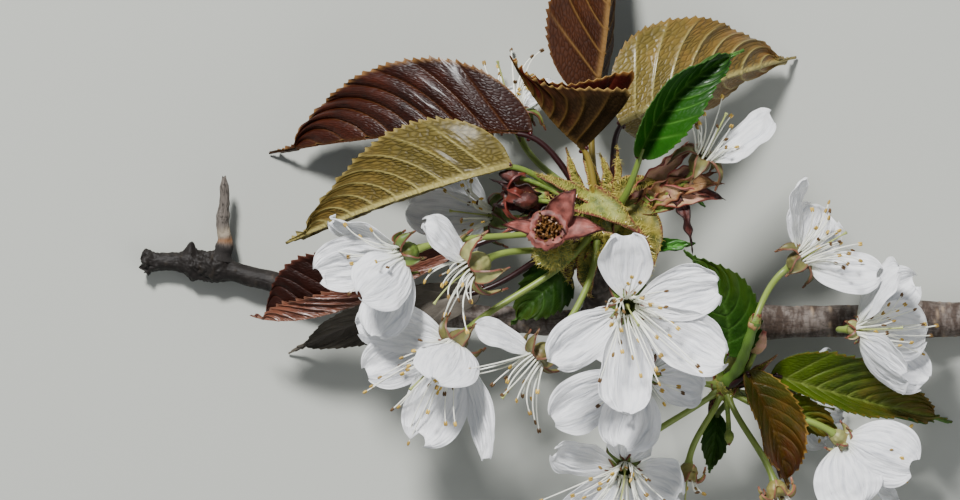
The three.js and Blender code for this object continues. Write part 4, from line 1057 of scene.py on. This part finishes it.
def stamens(centre, axis, count, length, sweep, size, seed):
    """Filaments in a ring inside the cup, spread round the axis and swept to one side: each is a bowed curve
    from root to end, of its own length, and a two-lobed anther sits across its tip. The pistil stands in
    the middle."""
    draw = np.random.default_rng(seed)
    out = axis_ways(axis, np.arange(count) * GOLDEN_ANGLE + draw.normal(scale=0.2, size=count))
    spread = (0.2 + 0.6 * draw.uniform(0, 1, count))[:, None]
    reach = (length * (0.4 + 0.65 * draw.uniform(0, 1, count)))[:, None]
    sweep = np.array(sweep, float)
    root = centre + out * CUP_RADIUS * size * 0.72 - axis * 0.6 * size
    middle = root + axis * reach * 0.62 + out * reach * spread * 0.3
    middle = middle + draw.normal(scale=0.07, size=out.shape) * reach
    end = root + axis * reach * 0.75 + out * reach * spread + sweep * reach * 0.5
    end = end + draw.normal(scale=0.06, size=out.shape) * reach
    lines = bezier(np.stack([root, middle, end], 1), np.linspace(0, 1, FILAMENT_ROWS))
    style_points = [centre - axis * 1.8 * size, centre + axis * length * 0.4,
                    centre + axis * length * 0.78 + sweep * length * 0.25]
    share = np.linspace(0, 1, STYLE_ROWS)
    style_width = 0.14 + swell_at(share, [(1, 0.16, 0.05), (0, 0.45, 0.12)])
    skins = [tube(lines, FILAMENT_RADIUS * np.linspace(1.15, 0.72, FILAMENT_ROWS), 6, FILAMENT),
             tube(bezier(style_points, share), style_width, 8, STYLE)]
    run = unit(end - middle)
    beside = unit(np.cross(draw.normal(size=out.shape), run))
    axes = np.stack([beside, np.cross(run, beside), run], 1)
    ripe = draw.uniform(0, 1, count)[:, None, None]
    lobe = ball(np.zeros(3), 1, rows=7, columns=8)[0] * (ANTHER_WIDTH, ANTHER_WIDTH, ANTHER_LENGTH)
    turned = np.einsum("rci,nij->nrcj", lobe, axes)
    for side in (-1, 1):
        middle_of_lobe = end[:, None, None] + side * 0.8 * ANTHER_WIDTH * beside[:, None, None]
        skins.append(closed(middle_of_lobe + turned, finish=ANTHER, ripe=ripe))
    return skins


# A petal is thin living tissue full of air, so it is bright white and soft, with faint grey veins that are
# partly painted shade along its creases.
white_petal = new_finish("cherry_petal", Roughness=0.5, Subsurface_Weight=0.2,
                         Subsurface_Radius=(1.0, 1.0, 1.0), Subsurface_Scale=0.0004)
tree = white_petal.node_tree
where = add_node(tree, "TexCoord", {}, "Object")
vein_mark, along_mark = (add_node(tree, "Attribute", {}, "Fac", attribute_name=mark)
                         for mark in ("vein", "along"))
# Fine creases run along the petal, about 0.5 mm apart at its widest, over a crumple of 0.6 mm. The creases
# are raised, and greyed with painted shade.
on_petal = add_node(tree, "UVMap", {}, uv_map="surface")
drawn = add_node(tree, "Mapping", {"Vector": on_petal, "Scale": (20, 2.6, 1)})
streak = add_node(tree, "TexNoise", {"Vector": drawn, "Scale": 1, "Detail": 4, "Distortion": 0.6})
crumple = add_node(tree, "TexNoise", {"Vector": where, "Scale": 1500, "Detail": 3})
# The grey of the veins and streaks is partly vein colour and partly painted shade along the creases.
tone = coated(tree, "#f6f6f7",
              (vein_mark, 0, 1, 0, 0.45, "#a2a8b6"),
              (along_mark, 0, 0.2, 0.5, 0, "#c8ce94"),
              (streak, 0.5, 0.75, 0, 0.4, "#a6acb8"))
dress(white_petal, tone, (streak, 0.6, 0.0006), (crumple, 0.2, 0.0003))

# Filaments are clear white threads, and the style is pale green. Anthers dry from yellow to brown.
filament = new_finish("white_filament", Base_Color="#f2f2e4", Roughness=0.35)
style_green = new_finish("green_style", Base_Color="#a8b066", Roughness=0.4)
anther = new_finish("anther", Roughness=0.65)
ripe_mark = add_node(anther.node_tree, "Attribute", {}, "Fac", attribute_name="ripe")
dress(anther, coated(anther.node_tree, "#d0ac4c", (ripe_mark, 0.3, 0.8, 0, 1, "#5c401c")))


def calyx_finish(name, body, blush, inside, roughness=0.5):
    """A calyx: waxy skin that runs from its body colour to a blush at the rim and sepals, mottled 1.5 mm
    wide, with another colour in the cup."""
    finish = new_finish(name, Roughness=roughness)
    tree = finish.node_tree
    where = add_node(tree, "TexCoord", {}, "Object")
    blush_mark, inside_mark = (add_node(tree, "Attribute", {}, "Fac", attribute_name=mark)
                               for mark in ("blush", "inside"))
    mottle = add_node(tree, "TexNoise", {"Vector": where, "Scale": 650, "Detail": 4})
    mixed = add_node(tree, "Math", {0: mottle, 1: blush_mark}, operation="ADD")
    dim = add_node(tree, "MapRange", {0: mottle, 1: 0.3, 2: 0.7, 3: 0.65, 4: 1.3})
    tone = coated(tree, body, (mixed, 0.75, 1.35, 0, 1, blush))
    tone = add_node(tree, "HueSaturation", {"Color": tone, "Value": dim})
    dress(finish, coated(tree, tone, (inside_mark, 0, 1, 0, 1, inside)), (mottle, 0.5, 0.0003))
    return finish


green_calyx = calyx_finish("green_calyx", "#586c26", "#633624", "#3c4a14")
pale_calyx = calyx_finish("pale_calyx", "#94945a", "#7a4434", "#6a5a28")
gold_calyx = calyx_finish("gold_calyx", "#8c8444", "#8a5640", "#5a4420")
brown_calyx = calyx_finish("brown_calyx", "#5c2418", "#6a261c", "#40200f")
rusty_calyx = calyx_finish("rusty_calyx", "#6a6636", "#6c4430", "#544020")
pedicel_green = new_finish("pedicel", Base_Color="#7e9040", Roughness=0.4)


def bloom(name, seat, centre, axis, petals, sweep=(0, 0, 0), count=24, length=9, size=1, reflex=0.75,
          sepals=SEPAL_LENGTH, finish=green_calyx, seed=0):
    """A bloom: its seat, the middle of its cup's rim, the way it faces, its petals and its stamens. Each
    kind of tissue is a piece of its own. A petal is its tip, half width and, where it differs, the way it
    faces. Gives the line of the stalk, so that bracts can stand on it."""
    centre = np.array(centre, float)
    axis = unit(axis)
    radius = CUP_RADIUS * size
    depth = CUP_DEPTH * size
    foot = centre - axis * depth
    line = stalk_line(*seat, foot + axis * depth * 0.05, axis, PEDICEL_ROWS)
    share = np.linspace(0, 1, PEDICEL_ROWS)
    thick = PEDICEL_RADIUS * (1 + 0.15 * share) + swell_at(share, [(0, 0.3, 0.05), (1, 0.2, 0.04)])
    skins = [tube(line, thick, 14, PEDICEL), cup_skin(foot, axis, radius, depth, seed)[0]]
    placed = sepals_round(foot, axis, radius, depth, sepals * size, reflex)
    for k, (root, bend, tip, face) in enumerate(placed):
        skin = bud_scale(root, bend, tip, SEPAL_HALF_WIDTH * size, face, rows=16, columns=11, crumple=0.1,
                         seed=seed + k, curl=40, finish=CALYX)
        skin["marks"]["blush"] = 0.15 + 0.85 * skin["marks"].pop("rim") ** 2
        skins.append(skin)
    grow(name + "_cup", skins, [finish, pedicel_green], "calyx", *([] if petals else [name]))
    if petals:
        blades = [petal(centre, axis, seed + 10 * k, one[:3], *one[3:]) for k, one in enumerate(petals)]
        grow(name + "_petals", blades, [white_petal], "petal", name)
    if count:
        threads = stamens(centre, axis, count, length, sweep, size, seed)
        grow(name + "_stamens", threads, [filament, anther, style_green], "petal")
    return line


bloom("bloom_main", on_head(0.3, -0.85, 0.45), (24.5, -9.5, 44), (0.05, -0.1, 1), [
    (24.0, 2.6, 48, 4.8),
    (39.6, -5.8, 47, 4.7),
    (41.4, -18.6, 46.5, 5.4),
    (24.2, -27.6, 46, 5.5),
    (11.4, -18.4, 47, 4.3),
], sweep=(0.45, -0.75, 0), count=38, length=11, seed=200)
bloom("bloom_left_cup", on_head(-0.95, -0.25, 0.15), (-13.4, -0.9, 35), (-0.85, -0.3, 0.3), [
    (-25.5, 4.2, 33, 3.6, (-0.3, -0.85, 0.5)),
    (-27.7, -3.6, 30, 4.8, (0.1, -0.2, 1)),
    (-19.9, -7.3, 44, 5.4, (-0.5, -0.5, -0.7)),
    (-18.2, -14.2, 34, 4.9, (-0.3, 0.5, 0.8)),
], sweep=(-0.3, 0, 0), length=10, count=12, sepals=3.4, seed=210)
bloom("bloom_left_small", on_head(-0.72, -0.65, 0.22), (-2.1, -3.4, 34.5), (-0.8, -0.45, 0.3), [
    (-9.2, 4.9, 38.5, 3.9, (-0.4, -0.6, -0.7)),
], sweep=(0.25, -0.9, 0), count=16, length=9.5, size=1.25, finish=pale_calyx, seed=220)
bloom("bloom_lower_left", on_head(-0.5, -0.75, 0.45), (-4.6, -16.0, 33), (-0.55, -0.6, 0.55), [
    (-7.5, -21.4, 43.5, 5.8, (-0.25, -0.8, -0.5)),
    (-20.8, -12.2, 31, 4.4, (0.3, -0.3, 1)),
    (-19.4, -20.6, 29, 4.6, (0.2, 0, 1)),
    (-10.2, -32.6, 31, 5.4, (0.1, 0.3, 1)),
    (1.3, -35.2, 36, 4.0, (-0.9, -0.1, 0.5)),
], sweep=(-0.6, -0.5, 0), count=30, length=12, sepals=4, finish=rusty_calyx, seed=230)
bloom("bloom_lower_middle", on_head(-0.1, -0.95, 0.3), (9.3, -18.3, 33), (-0.65, -0.7, 0.2), [
    (-0.9, -12.9, 36, 3.4, (-0.2, -0.7, -0.6)),
], sweep=(-0.3, -0.45, 0), count=18, length=9.5, sepals=4, finish=rusty_calyx, seed=240)
bloom("bloom_behind_main", on_knot(-0.9, 0.1, 0.45), (26.7, -20.8, 31), (-0.1, -0.25, 0.95), [
    (11.6, -28.4, 34, 4.8),
    (23.6, -33.8, 34, 5.4),
    (37.6, -23.4, 33, 4.0),
    (33.0, -9.5, 33, 4.6),
    (18.0, -10.5, 33, 4.6),
], seed=250)
bloom("bloom_bottom", on_knot(-0.75, -0.55, 0.35), (24.2, -36.8, 26), (0, -0.45, 0.9), [
    (11.7, -33.6, 29, 3.6),
    (25.4, -31.0, 31, 4.0),
    (34.6, -40.6, 29, 5.4),
    (30.0, -50.0, 22, 5.4),
    (15.0, -48.0, 22, 5.4),
], sweep=(-0.35, -0.5, 0), count=36, length=12, seed=260)
upper_right_seat = on_head(0.9, 0.42, 0.12)
upper_right_line = bloom("bloom_upper_right", upper_right_seat, (37.3, 15.8, 31), (0.45, 0.75, 0.35), [
    (49.0, 22.6, 33, 4.7, (-0.5, 0.6, 0.6)),
], sweep=(0.0, 0.3, 0), count=14, length=10, finish=rusty_calyx, seed=270)
# The shoot of the right spur ends here, and a bloom goes on from it.
SHOOT_END = np.array([45.8, -12.0, 29.5])
SHOOT_WAY = unit((0.3, 0.9, 0.15))
bloom("bloom_right_upper", (SHOOT_END + SHOOT_WAY * GAP, SHOOT_WAY), (54.2, -1.2, 27), (0.7, 0.45, 0.35), [
    (53.6, 12.5, 29, 2.5, (0.9, -0.1, 0.45)),
    (56.2, 7.6, 24, 4.2, (0.3, -0.3, 1)),
    (67.2, -4.0, 28, 4.2, (-0.2, 0.6, 0.8)),
    (59.0, 6.0, 18, 4.4),
], sweep=(0.35, 0.1, 0), length=10, sepals=3.4, finish=rusty_calyx, seed=280)
middle_seat = branch_seat(61.5, (0, -0.2, 0.95))
bloom("bloom_right_middle", middle_seat, (63.4, -13.3, 25), (0.8, 0, 0.6), [
    (69.6, -2.6, 30, 4.8, (0.75, -0.45, -0.45)),
    (71.5, -21.4, 31, 5.4, (0.55, 0.55, -0.65)),
    (75.0, -13.6, 20, 5.2, (-0.3, 0.05, 1)),
    (73.0, -4.6, 18, 4.4, (-0.2, -0.3, 1)),
    (75.0, -22.0, 18, 4.4, (-0.4, 0.4, 0.8)),
], sweep=(0.7, 0.15, -0.9), length=9, size=0.65, sepals=2.6, finish=pale_calyx, seed=290)
bloom("bloom_right_lower", on_knot(0.75, -0.55, 0.15), (60.8, -32.0, 19), (0.65, -0.5, -0.4), [
    (73.0, -36.3, 23, 5.6, (0.35, -0.1, -1)),
    (63.2, -43.0, 23, 5.8, (0.1, -0.35, -1)),
    (72.0, -31.0, 11, 4.4),
    (70.0, -43.0, 11, 5.0),
    (59.0, -41.0, 10, 4.4),
], sweep=(0.5, 0.4, 0.1), length=13, size=0.75, sepals=2.8, finish=pale_calyx, seed=300)
bloom("bloom_behind_left", on_head(-0.85, 0.15, -0.5), (1.5, 5.8, 14), (-0.85, 0.1, 0.3), [
    (-12.5, 6.6, 12, 4.2),
    (-5.0, 13.0, 5, 4.4),
    (-5.0, -2.0, 6, 4.4),
], seed=310)
bloom("bloom_behind_top", on_head(-0.4, 0.55, -0.7), (5.5, 23.0, 10), (-0.25, 0.85, 0.2), [
    (13.0, 28.0, 7, 4.4),
    (3.0, 26.5, 2.5, 4.0),
], length=12, seed=320)
bloom("bloom_behind_right", on_knot(0.7, -0.3, -0.6), (53.0, -25.0, 9), (0.75, -0.2, 0.2), [
    (62.0, -26.5, 10, 4.2),
    (59.0, -17.0, 4, 4.2),
    (58.0, -33.0, 4, 4.2),
], seed=330)


# Spent calyces
# Cups whose petals have dropped. The one in front is swollen and pink-red, with the dry brown stubs of its
# stamens inside; the others hang green or brown on their stalks.

FRONT_CENTRE = np.array([11.3, 3.6, 36.0])
FRONT_AXIS = unit((-0.1, 0.38, 0.92))
FRONT_RADIUS = 2.9
FRONT_DEPTH = 6.0
FRONT_INNER_ROW = 32
FRONT_PROFILE = [  # a swollen ring stands out round the mouth
    (0.2, 0.0),
    (0.5, 0.08),
    (0.8, 0.28),
    (0.86, 0.55),
    (0.9, 0.72),
    (1.16, 0.82),
    (1.24, 0.94),
    (1.08, 1.04),
    (0.8, 1.02),
    (0.66, 0.86),
    (0.5, 0.62),
    (0.1, 0.52),
]
FRONT_SEPALS = [  # tip and half width
    ((15.9, 10.2, 37.2), 2.7),
    ((20.8, 3.4, 36.6), 2.3),
    ((3.6, 4.2, 35.6), 1.3),
]
SWELLING = np.array([12.2, 0.0, 31.0])  # the young fruit swells the front cup here
SWELLING_RADIUS = 3.1
STUBS = 90

bloom("calyx_hanging", on_knot(-0.35, -0.8, 0.5), (34.6, -38.6, 22), (-0.1, -1, 0.1), [], count=8, length=5,
      size=0.9, reflex=0.95, sepals=2.4, finish=gold_calyx, seed=350)
bloom("calyx_low_right", on_knot(0.3, -0.85, 0.45), (50.0, -41.5, 25), (0.3, -0.95, 0.2), [], count=8,
      length=5, size=0.95, reflex=0.95, sepals=2.4, finish=gold_calyx, seed=360)
calyx_left_line = bloom("calyx_left", on_head(-0.9, 0.2, 0.35), (4.3, 9.5, 27.2), (-0.9, 0.1, 0.2), [],
                        count=0, size=0.9, finish=brown_calyx, seed=370)

red_calyx = calyx_finish("red_calyx", "#4c2018", "#96544a", "#24110a", 0.6)
dry_stub = new_finish("dry_stamen_stub", Base_Color="#6e4a20", Roughness=0.5)
foot = FRONT_CENTRE - FRONT_AXIS * FRONT_DEPTH
line = stalk_line(*on_head(-0.45, -0.15, 0.88), foot + FRONT_AXIS * 0.2, FRONT_AXIS, count=24)
cup, wall, wall_ways = cup_skin(foot, FRONT_AXIS, FRONT_RADIUS, FRONT_DEPTH, seed=340, profile=FRONT_PROFILE,
                                lumps=0.22, inner_row=FRONT_INNER_ROW)
cup["marks"]["blush"] = np.clip((wall - foot) @ FRONT_AXIS / FRONT_DEPTH * 1.5 - 0.75, -0.6, 0.6).ravel()
front_skins = [tube(line, PEDICEL_RADIUS * 1.3, 14, PEDICEL), cup]
for k, (tip, half_width) in enumerate(FRONT_SEPALS):
    tip = np.array(tip)
    way = unit(tip - FRONT_CENTRE - ((tip - FRONT_CENTRE) @ FRONT_AXIS) * FRONT_AXIS)
    root = FRONT_CENTRE + way * FRONT_RADIUS * 1.05 - FRONT_AXIS * 0.35
    bend = (root + tip) / 2 + FRONT_AXIS * 0.9
    skin = bud_scale(root, bend, tip, half_width, FRONT_AXIS, rows=24, crumple=0.1, seed=341 + k, curl=40)
    skin["marks"]["blush"] = 0.75 - 0.9 * skin["marks"].pop("rim") ** 2
    front_skins.append(skin)
draw = np.random.default_rng(345)
around = axis_ways(FRONT_AXIS, np.arange(STUBS) * GOLDEN_ANGLE)
stub_root = FRONT_CENTRE + around * FRONT_RADIUS * draw.uniform(0.3, 0.72, (STUBS, 1)) - FRONT_AXIS * 1.6
stub_end = stub_root + FRONT_AXIS * draw.uniform(1.2, 2.4, (STUBS, 1))
stub_end = stub_end + draw.normal(scale=0.7, size=(STUBS, 3))
stub_bend = (stub_root + stub_end) / 2 + draw.normal(scale=0.5, size=(STUBS, 3))
stub_lines = bezier(np.stack([stub_root, stub_bend, stub_end], 1), np.linspace(0, 1, 8))
front_skins.append(tube(stub_lines, np.linspace(0.12, 0.19, 8), 6, STUB))
front_skins.append(down(*over(wall[6:20], wall_ways[6:20], 200, 346), length=0.8, seed=347, finish=DOWN))
swelling, swelling_ways = lumpy_ball(SWELLING, SWELLING_RADIUS, lumps=0.15, wavelength=2.0, seed=348)
front_skins.append(closed(swelling, finish=FRUIT))
front_skins.append(down(*over(swelling, swelling_ways, 1100, 349), length=1.0, seed=350, finish=DOWN))
front_finishes = [red_calyx, pedicel_green, dry_stub, hair, scale_green]
grow("calyx_front_cup", front_skins, front_finishes, "calyx", "calyx_front")


# Bracts and buds
# Papery bracts that wrapped the bud stand round the stalks, brown and pink where they dry and green at
# their feet. Small unopened buds sit among them.

BRACT_THICKNESS = 0.2
BRACT_FACE = (0.1, -0.2, 1.0)
BUD_STALK_RADIUS = 0.42
GREEN_SHOOT_RADIUS = 1.05
GREEN_SHOOT_ROWS = 40
BROWN, PINK, LEAFY, DARK, SHOOT = range(5)  # the finishes of bracts, buds and the green shoot
UPPER_RIGHT_BRACTS = [  # place on the stalk, bend and tip from there, half width, finish
    (8, (3.4, 5.6, 3.5), (11.0, 10.4, 4.0), 2.5, PINK),
    (13, (5.0, 2.6, 4.0), (12.4, 5.0, 3.0), 2.5, BROWN),
    (20, (4.5, 0.5, 3.5), (10.6, -0.6, 2.0), 2.2, PINK),
    (27, (3.0, -3.0, 1.5), (3.6, -10.8, -1.0), 1.1, DARK),
    (16, (1.5, 5.6, 1.0), (6.4, 9.6, 0.0), 2.2, LEAFY),
    (29, (4.2, 1.5, 3.0), (8.4, 0.8, 2.5), 1.8, BROWN),
    (6, (5.0, -0.6, 2.5), (11.5, 2.0, 3.0), 1.7, LEAFY),
    (32, (3.6, -0.4, 1.0), (7.8, -2.4, 0.5), 1.5, DARK),
    (24, (2.4, 4.0, 2.0), (7.0, 5.8, 2.0), 1.8, PINK),
]
LEFT_BRACTS = [
    (6, (-3.5, 3.6, 1.5), (-9.6, 4.6, 1.0), 2.0, LEAFY),
    (16, (-3.0, -1.4, 2.0), (-7.4, -3.0, 1.5), 1.9, DARK),
    (24, (-2.6, 3.0, 1.0), (-7.6, 4.6, 1.0), 1.8, BROWN),
    (34, (-2.5, -1.5, 1.5), (-7.2, -1.2, 0.5), 1.8, DARK),
    (12, (-4.0, 1.0, 3.0), (-9.0, 1.6, 2.5), 1.7, DARK),
    (30, (-3.0, 1.6, 2.0), (-8.6, 3.6, 1.5), 1.6, DARK),
    (3, (-3.0, -2.6, 1.5), (-8.0, -4.4, 1.0), 1.8, BROWN),
    (20, (-4.0, -2.0, 0.5), (-9.4, -5.0, 0.0), 1.6, PINK),
]
BUDS = [  # seat, bend and middle of the bud, radius and finish
    (on_knot(0.1, -0.85, 0.3), (41.6, -27.5, 19.5), (41.7, -31.4, 19.0), 0.85, LEAFY),
    (on_knot(0.75, 0.35, 0.6), (45.3, -18.5, 21.5), (46.7, -15.4, 22.0), 1.35, PINK),
    (on_head(-0.85, 0.35, 0.5), (11.0, 8.6, 28.5), (7.6, 8.2, 29.8), 1.4, DARK),
    (on_head(-0.75, 0.5, 0.45), (10.0, 11.6, 27.5), (5.0, 12.4, 28.0), 1.2, DARK),
]

# Bracts dry from the rim inwards, thin as paper and dull; the shoot is smooth and green.
bract_finishes = [
    downy("dry_brown_bract", "#7e5a34", "#a2804c", "#74442c", "#b49460"),
    downy("pink_bract", "#a88860", "#bc8a78", "#8e463a", "#c8a084"),
    downy("green_bract", "#506a1e", "#86963e", "#7a4030", "#9aa258"),
    scale_red,
]
shoot_green = new_finish("green_shoot", Base_Color="#4e6c22", Roughness=0.5)


def bract_outline(u):
    """A bract's width along it: 0.25 + 0.75 sin(pi u^0.6)^0.8 - 0.2 u, narrow at its foot and pointed."""
    return 0.25 + 0.75 * np.sin(np.pi * u.clip(0, 1) ** 0.6) ** 0.8 - 0.2 * u


for name, line, table, seed in (("upper_right_bracts", upper_right_line, UPPER_RIGHT_BRACTS, 400),
                                ("left_bracts", calyx_left_line, LEFT_BRACTS, 420)):
    skins = [bud_scale(line[place], line[place] + bend, line[place] + tip, half_width, BRACT_FACE, rows=34,
                       crumple=0.32, seed=seed + k, curl=60, outline=bract_outline,
                       thickness=BRACT_THICKNESS, finish=finish)
             for k, (place, bend, tip, half_width, finish) in enumerate(table)]
    grow(name, skins, bract_finishes, "bud_scale")

bud_skins = []
for k, (seat, bend, middle, radius, finish) in enumerate(BUDS):
    middle = np.array(middle, float)
    run = unit(middle - bend)
    bud_skins.append(tube(stalk_line(*seat, middle, run, count=20), BUD_STALK_RADIUS, 10, LEAFY, rim=0.2))
    points, ways = ball(np.zeros(3), 1, rows=24, columns=24)
    slim = 1 - 0.45 * np.clip(points[..., 2:] + 0.2, 0, 1) ** 1.5
    shape = points * (1, 1, 1.6) * np.where([True, True, False], slim, 1)
    shape = shape + 0.06 * ways * rough(points * 3, 1.4, 450 + k)[..., None]
    place = middle + radius * (shape @ np.vstack([axis_ways(run, np.array([0, np.pi / 2])), run]))
    bud_skins.append(closed(place, finish=finish, rim=np.clip(points[..., 2], 0, 1) ** 2))
grow("small_buds", bud_skins, bract_finishes, "bud_scale")

# The stout green shoot that carries the bloom above the right spur. Brown scales stand at the foot of the
# stalk that springs from its end, and of the one on the branch itself.
line = stalk_line(*on_knot(0.4, 0.5, 0.75), SHOOT_END, SHOOT_WAY, GREEN_SHOOT_ROWS)
share = np.linspace(0, 1, GREEN_SHOOT_ROWS)
width = GREEN_SHOOT_RADIUS - 0.25 * share + 0.06 * np.cos(share * 25)
width = width + swell_at(share, [(1, 0.25, 0.08), (0, 0.4, 0.08)])
shoot_skins = [tube(line, width, 20, SHOOT, rim=0.1)]
for k, (seat, way) in enumerate(((SHOOT_END, SHOOT_WAY), middle_seat)):
    points, _ = lumpy_ball(seat - way * 0.5, GREEN_SHOOT_RADIUS - 0.25 * k, lumps=0.15, wavelength=1.2,
                           seed=470 + k, rows=16, columns=20)
    shoot_skins.append(closed(points, finish=(BROWN, DARK)[k], rim=0.4))
    for turn, out in enumerate(axis_ways(way, np.arange(6) * GOLDEN_ANGLE)):
        root = seat - way * 0.7 + out * (0.75 - 0.25 * k)
        bend = root + way * 0.9 + out * 0.35
        tip = root + way * (1.7 + 0.3 * turn % 0.9) - out * 0.15
        shoot_skins.append(bud_scale(root, bend, tip, 0.8, out, rows=12, columns=9, crumple=0.06,
                                     seed=480 + 7 * k + turn, curl=-60, finish=(LEAFY, DARK)[k]))
grow("right_shoot", shoot_skins, [*bract_finishes, shoot_green], "bud_scale")
